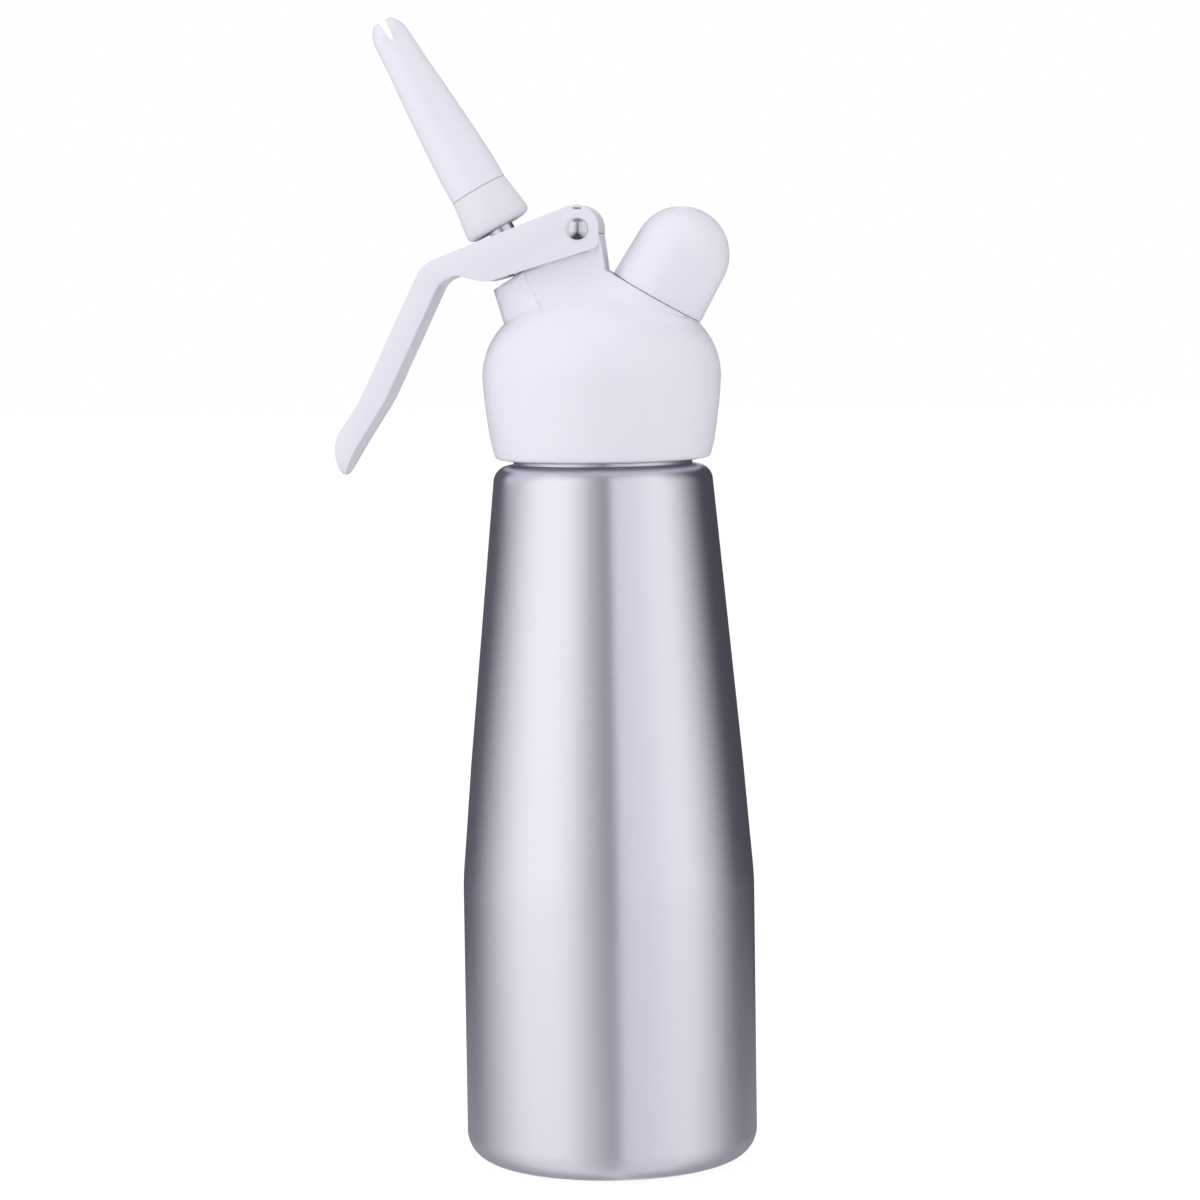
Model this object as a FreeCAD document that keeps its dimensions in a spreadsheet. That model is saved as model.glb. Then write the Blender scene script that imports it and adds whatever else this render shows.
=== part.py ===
import FreeCAD, Part
import math
import os
import re

import Sketcher
from FreeCAD import Placement, Rotation, Vector

# Half-litre whipped cream dispenser, in millimetres.
# The origin is the centre of the ring that the bottle stands on, and +Z runs up the bottle.
# The head carries two tilted axes: the valve leans to -X and the charger port to +X.
# Pieces on the valve are drawn along a local Z that is the valve axis, pieces on the port
# along a local Z that is the port axis, and the hinge pin along its own axis.

doc = FreeCAD.newDocument("whipped_cream_dispenser")
sheet = doc.addObject("Spreadsheet::Sheet", "Sizes")

DRIVING_SIZES = {
    # bottle, drawn aluminium
    "bottle_radius": 38.0,
    "bottle_wall": 1.5,
    "straight_top": 77.5,
    "taper_blend": 110.0,
    "corner_radius": 9.5,
    "foot_outer": 29.6,
    "foot_inner": 26.8,
    "foot_step": 1.2,
    "base_dome": 4.0,
    "shoulder_radius": 28.14,
    "shoulder_top": 181.4,
    "shoulder_round": 4.0,
    "neck_radius": 23.2,
    "neck_bore": 20.6,
    "neck_top": 195.6,
    "lip_round": 0.6,
    # head, moulded
    "skirt_bottom": 182.9,
    "skirt_radius": 28.2,
    "skirt_round": 2.6,
    "belly_radius": 30.9,
    "belly_height": 204.5,
    "skirt_bulge": 160.0,
    "dome_radius": 19.5,
    "thread_bore": 24.3,
    "gasket_ledge": 197.65,
    "gasket_thickness": 2.0,
    "gasket_inner": 19.2,
    "ceiling_radius": 17.5,
    "ceiling_height": 203.0,
    # valve, measured along its own axis from where it crosses the bottle's axis
    "valve_foot": 197.2,
    "valve_tilt": 29.2,
    "valve_seat": 1.5,
    "seat_radius": 8.0,
    "valve_passage": 4.3,
    "gland_bottom": 21.5,
    "bush_bottom": 24.0,
    "bush_radius": 5.2,
    "spring_floor": 33.5,
    "spring_recess": 5.6,
    "boss_top": 39.6,
    "boss_radius": 9.6,
    "boss_draft": 13.0,
    "boss_depth": 19.2,
    "stem_radius": 3.3,
    "stem_bore": 2.2,
    "stem_top": 63.0,
    "stud_radius": 2.0,
    "cross_hole": 1.3,
    "cross_height": 8.0,
    "seal_thickness": 3.0,
    "seal_radius": 6.6,
    "washer_thickness": 1.0,
    "nut_across": 7.0,
    "nut_thickness": 3.0,
    "collar_bottom": 45.0,
    "collar_top": 47.9,
    "collar_radius": 5.8,
    "wire": 1.0,
    "spring_radius": 4.35,
    "spring_turns": 6.0,
    # nozzle, along the valve axis
    "adapter_bottom": 52.8,
    "adapter_radius": 9.05,
    "adapter_round": 1.9,
    "nozzle_seam": 63.9,
    "nozzle_radius": 7.6,
    "nozzle_straight": 68.0,
    "nozzle_waist": 90.0,
    "nozzle_waist_radius": 6.25,
    "nozzle_taper_end": 101.0,
    "nozzle_taper_radius": 5.3,
    "nozzle_tip_start": 108.6,
    "nozzle_tip_radius": 4.85,
    "nozzle_top": 113.7,
    "mouth_radius": 2.8,
    "tip_curve": 7.2,
    "nozzle_bore": 2.4,
    "bore_radius": 3.3,
    "spigot_radius": 5.0,
    "spigot_top": 70.0,
    "slot_mouth": 2.0,
    "slot_root": 1.0,
    "slot_depth": 5.5,
    "slot_turn": 4.4,
    # charger port, measured along its own axis from where it crosses the bottle's axis
    "port_foot": 199.4,
    "port_tilt": 30.1,
    "port_seam": 29.1,
    "port_radius": 12.95,
    "port_floor": 13.5,
    "stub_bottom": 15.0,
    "stub_radius": 9.0,
    "stub_thread": 9.9,
    "stub_top": 39.5,
    "charger_guide": 4.6,
    "charger_chamber": 5.0,
    "chamber_top": 24.0,
    "gasket_room": 2.0,
    "holder_height": 4.4,
    "piercer_radius": 1.0,
    "inlet_offset": 9.0,
    "inlet_radius": 1.5,
    "cap_gap": 0.3,
    "cap_mouth": 12.9,
    "cap_round": 12.45,
    "cap_round_height": 41.9,
    "cap_bore": 10.2,
    "seat_reach": 7.0,
    # lever and its hinge
    "pin_x": -4.9,
    "pin_z": 242.5,
    "pin_radius": 1.75,
    "pin_head": 2.75,
    "pin_dome": 1.2,
    "lever_round": 5.9,
    "lever_tail": 5.4,
    "lever_crown": 6.3,
    "lever_half_width": 11.2,
    "web_slope": 20.8,
    "web_round": 4.1,
    "cheek_gap": 9.4,
    "gap_length": 31.0,
    "knuckle_run": 38.0,
    "knuckle_round": 9.0,
    "flare_out_round": 30.0,
    "flare_in_round": 40.0,
    "palm_round": 6.0,
    "belly_round": 9.0,
    "foot_round": 2.0,
    "relief_length": 2.0,
    "relief_height": 0.55,
    "relief_depth": 0.75,
    "hub_radius": 3.6,
    "lug_half_width": 9.1,
    "lug_ledge": 241.25,
    "lug_back": 5.6,
    "lug_foot": 6.8,
    "lug_round": 0.9,
    "flare_top": 234.0,
    "flare_radius": 11.36,
    "flare_path": 55.0,
    "flare_spread": 16.6,
    "flare_drop": 1.45,
    "boss_inset": 0.04,
    "boss_overlap": 0.1,
    "rest_gap": 0.3,
    "nose_radius": 1.4,
    "nose_bottom": 48.0,
    "stem_slack": 0.35,
    "stem_swing": 1.6,
    # fits, as gaps on the radius
    "running": 0.06,
    "snug": 0.02,
}

for row, (name, size) in enumerate(DRIVING_SIZES.items(), start=1):
    sheet.set("A%d" % row, name)
    sheet.set("B%d" % row, str(size))
    sheet.setAlias("B%d" % row, name)
doc.recompute()


def size_of(expression):
    """The number that an expression on the sheet's names gives now."""
    return float(sheet.evalExpression(str(expression)))


def bound(expression):
    """The same expression as another object reads it: each name gets the sheet before it."""
    return re.sub(
        r"[a-z_]+",
        lambda word: "Sizes." + word.group() if word.group() in DRIVING_SIZES else word.group(),
        str(expression),
    )


def upright():
    return Placement()


def on_valve():
    return Placement(Vector(0, 0, size_of("valve_foot")), Rotation(Vector(0, -1, 0), size_of("valve_tilt")))


def on_port():
    return Placement(Vector(0, 0, size_of("port_foot")), Rotation(Vector(0, 1, 0), size_of("port_tilt")))


def on_pin():
    return Placement(Vector(size_of("pin_x"), 0, size_of("pin_z")), Rotation(Vector(1, 0, 0), 90))


def new_body(name, seat):
    """A sub-part whose Placement follows the sheet: upright, or on the valve, port or pin."""
    body = doc.addObject("PartDesign::Body", name)
    body.Label = name
    body.Placement = seat()
    if seat is on_valve:
        body.setExpression("Placement.Base.z", "Sizes.valve_foot")
        body.setExpression("Placement.Rotation.Angle", "Sizes.valve_tilt")
    if seat is on_port:
        body.setExpression("Placement.Base.z", "Sizes.port_foot")
        body.setExpression("Placement.Rotation.Angle", "Sizes.port_tilt")
    if seat is on_pin:
        body.setExpression("Placement.Base.x", "Sizes.pin_x")
        body.setExpression("Placement.Base.z", "Sizes.pin_z")
    return body


def origin_plane(body, role):
    return [feature for feature in body.Origin.OriginFeatures if feature.Role == role][0]


def new_sketch(body, name, role, offset=None):
    sketch = body.newObject("Sketcher::SketchObject", name)
    sketch.AttachmentSupport = [(origin_plane(body, role), "")]
    sketch.MapMode = "FlatFace"
    if offset is not None:
        sketch.AttachmentOffset = offset
    return sketch


def hold(sketch, kind, axis_line, geometry, point, expression):
    """Holds one coordinate of one point at an expression, measured from the sketch's origin."""
    number = size_of(expression)
    if abs(number) < 1e-9:
        sketch.addConstraint(Sketcher.Constraint("PointOnObject", geometry, point, axis_line))
        return
    index = sketch.addConstraint(Sketcher.Constraint(kind, -1, 1, geometry, point, number))
    sketch.setExpression("Constraints[%d]" % index, bound(expression))


def draw_outline(body, name, role, corners, offset=None):
    """A closed outline through corners. A corner (x, y) ends a straight side; (x, y, radius) ends an
    arc of that radius, which turns left if the radius is positive and right if it is negative."""
    sketch = new_sketch(body, name, role, offset)
    places = [Vector(size_of(corner[0]), size_of(corner[1]), 0) for corner in corners]
    sides = []
    for number, corner in enumerate(corners):
        start = places[number - 1]
        end = places[number]
        if len(corner) == 2:
            sides.append((sketch.addGeometry(Part.LineSegment(start, end), False), 1, 2))
            continue
        radius = size_of(corner[2])
        half = (end - start) * 0.5
        height = math.sqrt(max(radius * radius - half.Length ** 2, 0.0))
        left = Vector(-half.y, half.x, 0).normalize()
        centre = start + half + left * math.copysign(height, radius)
        circle = Part.Circle(centre, Vector(0, 0, 1), abs(radius))
        first = math.atan2(start.y - centre.y, start.x - centre.x)
        last = math.atan2(end.y - centre.y, end.x - centre.x)
        if radius > 0:
            sides.append((sketch.addGeometry(Part.ArcOfCircle(circle, first, last), False), 1, 2))
        else:
            sides.append((sketch.addGeometry(Part.ArcOfCircle(circle, last, first), False), 2, 1))
    for number, corner in enumerate(corners):
        geometry, start_point, end_point = sides[number]
        before, _, before_end = sides[number - 1]
        sketch.addConstraint(Sketcher.Constraint("Coincident", before, before_end, geometry, start_point))
        hold(sketch, "DistanceX", -2, geometry, end_point, corner[0])
        hold(sketch, "DistanceY", -1, geometry, end_point, corner[1])
        if len(corner) == 3:
            index = sketch.addConstraint(Sketcher.Constraint("Radius", geometry, abs(size_of(corner[2]))))
            sketch.setExpression("Constraints[%d]" % index, "abs(%s)" % bound(corner[2]))
    return sketch


def draw_circle(body, name, role, centre, radius, offset=None):
    sketch = new_sketch(body, name, role, offset)
    middle = Vector(size_of(centre[0]), size_of(centre[1]), 0)
    circle = sketch.addGeometry(Part.Circle(middle, Vector(0, 0, 1), size_of(radius)), False)
    hold(sketch, "DistanceX", -2, circle, 3, centre[0])
    hold(sketch, "DistanceY", -1, circle, 3, centre[1])
    index = sketch.addConstraint(Sketcher.Constraint("Radius", circle, size_of(radius)))
    sketch.setExpression("Constraints[%d]" % index, bound(radius))
    return sketch


def draw_half_ellipse(body, name, offset, half_x, half_y):
    """The half of an ellipse on its -X side, closed by a straight line a little past the middle."""
    sketch = new_sketch(body, name, "XY_Plane", offset)
    past = size_of("boss_overlap")
    wide = size_of(half_x) + past
    deep = size_of(half_y)
    middle = Vector(past, 0, 0)
    quarter = math.pi / 2
    if wide > deep:
        ellipse = Part.Ellipse(middle - Vector(wide, 0, 0), middle - Vector(0, deep, 0), middle)
        sketch.addGeometry(Part.ArcOfEllipse(ellipse, -quarter, quarter), False)
    else:
        ellipse = Part.Ellipse(middle + Vector(0, deep, 0), middle - Vector(wide, 0, 0), middle)
        sketch.addGeometry(Part.ArcOfEllipse(ellipse, 0, 2 * quarter), False)
    sketch.addGeometry(Part.LineSegment(middle - Vector(0, deep, 0), middle + Vector(0, deep, 0)), False)
    return sketch


def draw_ellipse(body, name, offset, half_x, half_y):
    """An ellipse across a tilted axis; half_x and half_y are its half widths."""
    sketch = new_sketch(body, name, "XY_Plane", offset)
    wide = size_of(half_x)
    deep = size_of(half_y)
    if abs(wide - deep) < 1e-9:
        shape = Part.Circle(Vector(), Vector(0, 0, 1), wide)
    elif wide > deep:
        shape = Part.Ellipse(Vector(wide, 0, 0), Vector(0, deep, 0), Vector())
    else:
        shape = Part.Ellipse(Vector(0, deep, 0), Vector(-wide, 0, 0), Vector())
    sketch.addGeometry(shape, False)
    return sketch


def revolve(body, sketch, cut=False, axis="V_Axis"):
    """A full turn about one of the sketch's own axes, added or cut."""
    kind = "PartDesign::Groove" if cut else "PartDesign::Revolution"
    feature = body.newObject(kind, sketch.Name + "_turned")
    feature.Profile = sketch
    feature.ReferenceAxis = (sketch, [axis])
    feature.Angle = 360.0
    doc.recompute()
    return feature


def extrude(body, sketch, length, cut=False, both_ways=False, backwards=False):
    kind = "PartDesign::Pocket" if cut else "PartDesign::Pad"
    feature = body.newObject(kind, sketch.Name + ("_cut" if cut else "_pad"))
    feature.Profile = sketch
    feature.Length = size_of(length)
    feature.setExpression("Length", bound(length))
    feature.Midplane = both_ways
    feature.Reversed = backwards
    doc.recompute()
    return feature


def dress(body, kind, name, places, size):
    """Rounds or bevels the edges of the body's tip that run through the given places."""
    tip = body.Tip
    names = []
    for place in places:
        vertex = Part.Vertex(place)
        distances = [edge.distToShape(vertex)[0] for edge in tip.Shape.Edges]
        nearest = distances.index(min(distances))
        if distances[nearest] > 0.05:
            raise ValueError("%s: no edge at %s" % (name, place))
        names.append("Edge%d" % (nearest + 1))
    feature = body.newObject(kind, name)
    feature.Base = (tip, sorted(set(names)))
    attribute = "Radius" if kind.endswith("Fillet") else "Size"
    setattr(feature, attribute, size_of(size))
    feature.setExpression(attribute, bound(size))
    doc.recompute()
    if feature.Shape.isNull():
        raise ValueError("%s: the edge can't take this size" % name)
    return feature


def fillet(body, name, places, radius):
    return dress(body, "PartDesign::Fillet", name, places, radius)


def chamfer(body, name, places, size):
    return dress(body, "PartDesign::Chamfer", name, places, size)


def round_edge(radius, height):
    """A place on the circle of this radius at this height, off the seam that a full turn leaves."""
    return Vector(0, size_of(radius), size_of(height))


def ring(name, seat, inner, outer, bottom, top):
    """A plain ring, or a disc if the inner radius is zero."""
    body = new_body(name, seat)
    section = draw_outline(body, name + "_section", "XZ_Plane", [
        (inner, bottom),
        (outer, bottom),
        (outer, top),
        (inner, top),
    ])
    revolve(body, section)
    return body


def across(seat, height):
    """The plane across a tilted axis at this height along it, as a sketch offset from XY."""
    return seat().multiply(Placement(Vector(0, 0, size_of(height)), Rotation()))


def beside(foot, tilt):
    """The plane of both tilted axes with its vertical laid along one, as a sketch offset from XZ."""
    return Placement(Vector(0, size_of(foot), 0), Rotation(Vector(0, 0, 1), size_of(tilt)))


def make_bottle():
    """Drawn aluminium bottle: domed base on a foot ring, straight foot, long taper, short neck."""
    body = new_body("bottle", upright)
    corner_height = "foot_step + corner_radius"
    flat_edge = "(bottle_radius - corner_radius)"
    slope = "atan((bottle_radius - shoulder_radius) / (shoulder_top - straight_top))"
    reach = "taper_blend * tan(%s / 2)" % slope
    blend_low = "straight_top - " + reach
    blend_high = "straight_top + %s * cos(%s)" % (reach, slope)
    blend_in = " - %s * sin(%s)" % (reach, slope)
    section = draw_outline(body, "bottle_section", "XZ_Plane", [
        ("0", "base_dome + bottle_wall"),
        ("0", "base_dome"),
        ("foot_inner", "0", "-(foot_inner^2 + base_dome^2) / (2 * base_dome)"),
        ("foot_outer", "0"),
        ("foot_outer", corner_height + " - sqrt(corner_radius^2 - (foot_outer - %s)^2)" % flat_edge),
        ("bottle_radius", corner_height, "corner_radius"),
        ("bottle_radius", blend_low),
        ("bottle_radius" + blend_in, blend_high, "taper_blend"),
        ("shoulder_radius", "shoulder_top"),
        ("neck_radius", "shoulder_top"),
        ("neck_radius", "neck_top"),
        ("neck_bore", "neck_top"),
        ("neck_bore", "shoulder_top - bottle_wall"),
        ("shoulder_radius - bottle_wall", "shoulder_top - bottle_wall"),
        ("bottle_radius - bottle_wall" + blend_in, blend_high),
        ("bottle_radius - bottle_wall", blend_low, "-taper_blend"),
        ("bottle_radius - bottle_wall", corner_height),
        (flat_edge, "foot_step + bottle_wall", "-(corner_radius - bottle_wall)"),
        ("foot_inner", "foot_step + bottle_wall"),
    ])
    revolve(body, section)
    fillet(body, "shoulder_rounding", [round_edge("shoulder_radius", "shoulder_top")], "shoulder_round")
    inner_shoulder = round_edge("shoulder_radius - bottle_wall", "shoulder_top - bottle_wall")
    fillet(body, "inner_shoulder_rounding", [inner_shoulder], "shoulder_round - bottle_wall")
    fillet(body, "lip_rounding", [round_edge("neck_radius", "neck_top")], "lip_round")


# Sections of the two bosses: height along the axis, half width in the plane of the two axes, half
# width across it. Both flare across the head until they run into the dome. The valve's boss is the
# front end of the lug: half an ellipse whose width follows the lug's own hollow round.
def valve_boss_section(drop):
    spread = "lug_half_width - boss_inset + flare_radius - sqrt(flare_radius^2 - (%s - flare_drop)^2)" % drop
    return ("boss_top - %s" % drop, "boss_radius + %s * tan(boss_draft)" % drop, spread)


VALVE_BOSS = [("boss_top", "boss_radius", "lug_half_width - boss_inset")] + [
    valve_boss_section(drop) for drop in (1.5, 3, 4.5, 6, 7.5, 9, 10.3, 11.5)
] + [
    ("boss_top - 13", "boss_radius + 13 * tan(boss_draft)", "flare_spread + 1.3"),
    ("boss_top - 15", "boss_radius + 15 * tan(boss_draft)", "flare_spread + 2.8"),
    ("boss_top - 18", "boss_radius + 18 * tan(boss_draft)", "flare_spread + 4"),
]
PORT_BOSS = [
    ("port_seam - %s" % drop, "port_radius + %s" % (0.06 * drop), "port_radius + %s" % spread)
    for drop, spread in (
        (0, 0), (0.7, 0.12), (1.4, 0.55), (2.1, 1.35), (3.1, 2.6),
        (4.1, 3.9), (5.2, 5.1), (6.5, 6.1), (9, 7), (12, 7.4),
    )
]


def loft(body, name, seat, sections, draw):
    sketches = [
        draw(body, "%s_section_%d" % (name, number), across(seat, height), wide, deep)
        for number, (height, wide, deep) in enumerate(sections, start=1)
    ]
    feature = body.newObject("PartDesign::AdditiveLoft", name)
    feature.Profile = sketches[0]
    feature.Sections = sketches[1:]
    doc.recompute()


def make_head():
    """Moulded head: the lever's lug, flared valve and port bosses, bell skirt and dome."""
    body = new_body("head_housing", upright)

    # The lug that carries the hinge pin fills the room between the two axes: the valve's top
    # plane, a hub round the pin, the ledge under the lever's tail, a back face, the cap's seat.
    valve = on_valve()
    port = on_port()
    hinge_along = "(cos(valve_tilt) * pin_x + sin(valve_tilt) * (pin_z - valve_foot))"
    hinge_up = "(cos(valve_tilt) * (pin_z - valve_foot) - sin(valve_tilt) * pin_x)"
    front_face = size_of(hinge_along + " - hub_radius")
    boss_top = size_of("boss_top")
    port_seam = size_of("port_seam")
    under_cap = -size_of("seat_reach")
    boss_middle = valve.multVec(Vector(0, 0, boss_top))
    boss_root = valve.multVec(Vector(0, 0, boss_top - size_of("boss_depth")))
    seat_root = port.multVec(Vector(under_cap, 0, port_seam - size_of("boss_depth")))
    seat_place = port.multVec(Vector(under_cap, 0, port_seam))
    lug_foot_x = size_of("pin_x + lug_foot")
    lug_foot_z = seat_place.z + (seat_place.x - lug_foot_x) * math.tan(math.radians(size_of("port_tilt")))
    corner_front = valve.multVec(Vector(front_face, 0, boss_top))
    tangent = valve.multVec(Vector(front_face, 0, size_of(hinge_up)))
    lug = draw_outline(body, "lug_outline", "XZ_Plane", [
        (boss_middle.x, boss_middle.z),
        (boss_root.x, boss_root.z),
        (seat_root.x, seat_root.z),
        (seat_place.x, seat_place.z),
        (lug_foot_x, lug_foot_z),
        ("pin_x + lug_back", "lug_ledge"),
        ("pin_x + sqrt(hub_radius^2 - (pin_z - lug_ledge)^2)", "lug_ledge"),
        ("pin_x", "pin_z + hub_radius", "hub_radius"),
        (tangent.x, tangent.z, "hub_radius"),
        (corner_front.x, corner_front.z),
    ])
    extrude(body, lug, "2 * flare_spread", both_ways=True)

    # Upwards the lug narrows in a hollow round on each side. The round's path bends down to both
    # ends with the dome, so it runs smoothly out of the dome all along.
    edge = "(flare_spread + 1)"
    across_path = "(lug_half_width + flare_radius - %s)" % edge
    edge_height = "flare_path - sqrt(flare_radius^2 - %s^2)" % across_path
    path_middle = Placement(Vector(0, size_of("flare_top - flare_path"), 0), Rotation())
    for name, side in (("front_flare", "-"), ("back_flare", "")):
        hollow = draw_outline(body, name, "YZ_Plane", [
            (side + "lug_half_width", "flare_path + 20"),
            (side + "lug_half_width", "flare_path"),
            (side + edge, edge_height, ("-" if side else "") + "flare_radius"),
            (side + edge, "flare_path + 20"),
        ], path_middle)
        revolve(body, hollow, cut=True, axis="H_Axis")
    back_middle = (size_of("pin_x + lug_back") + lug_foot_x) / 2
    back_height = (size_of("lug_ledge") + lug_foot_z) / 2
    half_width = size_of("lug_half_width")
    back_edges = [Vector(back_middle, side, back_height) for side in (-half_width, half_width)]
    fillet(body, "lug_rounding", back_edges, "lug_round")

    bell = draw_outline(body, "bell_section", "XZ_Plane", [
        ("0", "skirt_bottom"),
        ("skirt_radius", "skirt_bottom"),
        ("belly_radius", "belly_height", "skirt_bulge"),
        ("belly_radius - dome_radius", "belly_height + dome_radius", "dome_radius"),
        ("0", "belly_height + dome_radius"),
    ])
    revolve(body, bell)
    fillet(body, "skirt_rounding", [round_edge("skirt_radius", "skirt_bottom")], "skirt_round")
    loft(body, "valve_boss", on_valve, VALVE_BOSS, draw_half_ellipse)
    loft(body, "port_boss", on_port, PORT_BOSS, draw_ellipse)

    # The dome is faced off flat where the charger cap seats on the port.
    facing = draw_outline(body, "cap_seat_section", "XZ_Plane", [
        ("0", "port_seam"),
        ("port_radius + 0.4", "port_seam"),
        ("port_radius + 0.4", "port_seam + 4"),
        ("0", "port_seam + 4"),
    ], beside("port_foot", "-port_tilt"))
    revolve(body, facing, cut=True)
    pin_hole = draw_circle(body, "hinge_hole", "XZ_Plane", ("pin_x", "pin_z"), "pin_radius + running")
    extrude(body, pin_hole, "2 * lug_half_width + 2", cut=True, both_ways=True)

    # Inside: the threaded bore for the bottle's neck, then the pressure chamber's ceiling with
    # the valve seat standing out of it.
    neck_bore = draw_outline(body, "neck_bore_section", "XZ_Plane", [
        ("0", "skirt_bottom - 1"),
        ("thread_bore", "skirt_bottom - 1"),
        ("thread_bore", "gasket_ledge"),
        ("ceiling_radius", "gasket_ledge"),
        ("ceiling_radius", "ceiling_height"),
        ("0", "ceiling_height"),
    ])
    revolve(body, neck_bore, cut=True)
    seat_tube = draw_circle(body, "seat_tube", "XY_Plane", ("0", "0"), "seat_radius",
                            across(on_valve, "valve_seat"))
    extrude(body, seat_tube, "gland_bottom - 8")
    valve_bore = draw_outline(body, "valve_bore_section", "XZ_Plane", [
        ("0", "valve_seat - 1"),
        ("valve_passage", "valve_seat - 1"),
        ("valve_passage", "gland_bottom"),
        ("bush_radius + snug", "gland_bottom"),
        ("bush_radius + snug", "spring_floor"),
        ("spring_recess", "spring_floor"),
        ("spring_recess", "boss_top + 1"),
        ("0", "boss_top + 1"),
    ], beside("valve_foot", "valve_tilt"))
    revolve(body, valve_bore, cut=True)
    port_bore = draw_circle(body, "port_bore", "XY_Plane", ("0", "0"), "stub_radius + snug",
                            across(on_port, "port_floor"))
    extrude(body, port_bore, "port_seam - port_floor + 1", cut=True, backwards=True)
    inlet = draw_circle(body, "gas_inlet", "XY_Plane", ("inlet_offset", "0"), "inlet_radius",
                        Placement(Vector(0, 0, size_of("ceiling_height - 1")), Rotation()))
    extrude(body, inlet, "10", cut=True, backwards=True)


def make_valve():
    """Hollow stem with its guide, seals, spring and push collar."""
    body = new_body("valve_stem", on_valve)
    section = draw_outline(body, "stem_section", "XZ_Plane", [
        ("0", "valve_seat - seal_thickness - washer_thickness - nut_thickness - 0.4"),
        ("stud_radius", "valve_seat - seal_thickness - washer_thickness - nut_thickness - 0.4"),
        ("stud_radius", "valve_seat"),
        ("stem_radius", "valve_seat"),
        ("stem_radius", "stem_top"),
        ("stem_bore", "stem_top"),
        ("stem_bore", "cross_height - 3"),
        ("0", "cross_height - 3"),
    ])
    revolve(body, section)
    cross = draw_circle(body, "cross_hole_outline", "XZ_Plane", ("0", "cross_height"), "cross_hole")
    extrude(body, cross, "4 * stem_radius", cut=True, both_ways=True)

    seal_bottom = "valve_seat - seal_thickness"
    washer_bottom = seal_bottom + " - washer_thickness"
    seal = ring("valve_seal", on_valve, "stud_radius + snug", "seal_radius", seal_bottom, "valve_seat - snug")
    chamfer(seal, "seal_bevel", [round_edge("seal_radius", "valve_seat - snug")], "0.5")
    ring("seal_washer", on_valve, "stud_radius + snug", "seal_radius - 1.2", washer_bottom, seal_bottom)

    nut = new_body("seal_nut", on_valve)
    corner = "nut_across / sqrt(3)"
    hexagon = draw_outline(nut, "nut_outline", "XY_Plane", [
        ("%s * cos(%d)" % (corner, angle), "%s * sin(%d)" % (corner, angle)) for angle in range(0, 360, 60)
    ], Placement(Vector(0, 0, size_of(washer_bottom)), Rotation()))
    extrude(nut, hexagon, "nut_thickness", backwards=True)
    hole = draw_circle(nut, "nut_hole", "XY_Plane", ("0", "0"), "stud_radius + snug")
    extrude(nut, hole, "4 * nut_thickness", cut=True, both_ways=True)

    ring("guide_bush", on_valve, "stem_radius + running", "bush_radius", "bush_bottom", "spring_floor")

    o_ring = new_body("stem_o_ring", on_valve)
    o_ring_middle = "(stem_radius + bush_radius) / 2"
    o_ring_section = draw_circle(o_ring, "o_ring_section", "XZ_Plane",
                                 (o_ring_middle, "(gland_bottom + bush_bottom) / 2"),
                                 "(bush_radius - stem_radius) / 2 - running")
    revolve(o_ring, o_ring_section)

    collar_bore = "stem_radius + snug"
    collar = ring("push_collar", on_valve, collar_bore, "collar_radius", "collar_bottom", "collar_top")
    chamfer(collar, "collar_bevel", [round_edge("collar_radius", "collar_top")], "0.5")

    spring = new_body("return_spring", on_valve)
    wire = draw_circle(spring, "wire_section", "XZ_Plane",
                       ("spring_radius", "spring_floor + snug + wire / 2"), "wire / 2")
    coil = spring.newObject("PartDesign::AdditiveHelix", "coil")
    coil.Profile = wire
    coil.ReferenceAxis = (wire, ["V_Axis"])
    coil.Mode = "height-turns-angle"
    coil.Height = size_of("collar_bottom - spring_floor - wire - 2 * snug")
    coil.setExpression("Height", bound("collar_bottom - spring_floor - wire - 2 * snug"))
    coil.Turns = size_of("spring_turns")
    coil.setExpression("Turns", "Sizes.spring_turns")
    doc.recompute()


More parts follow.
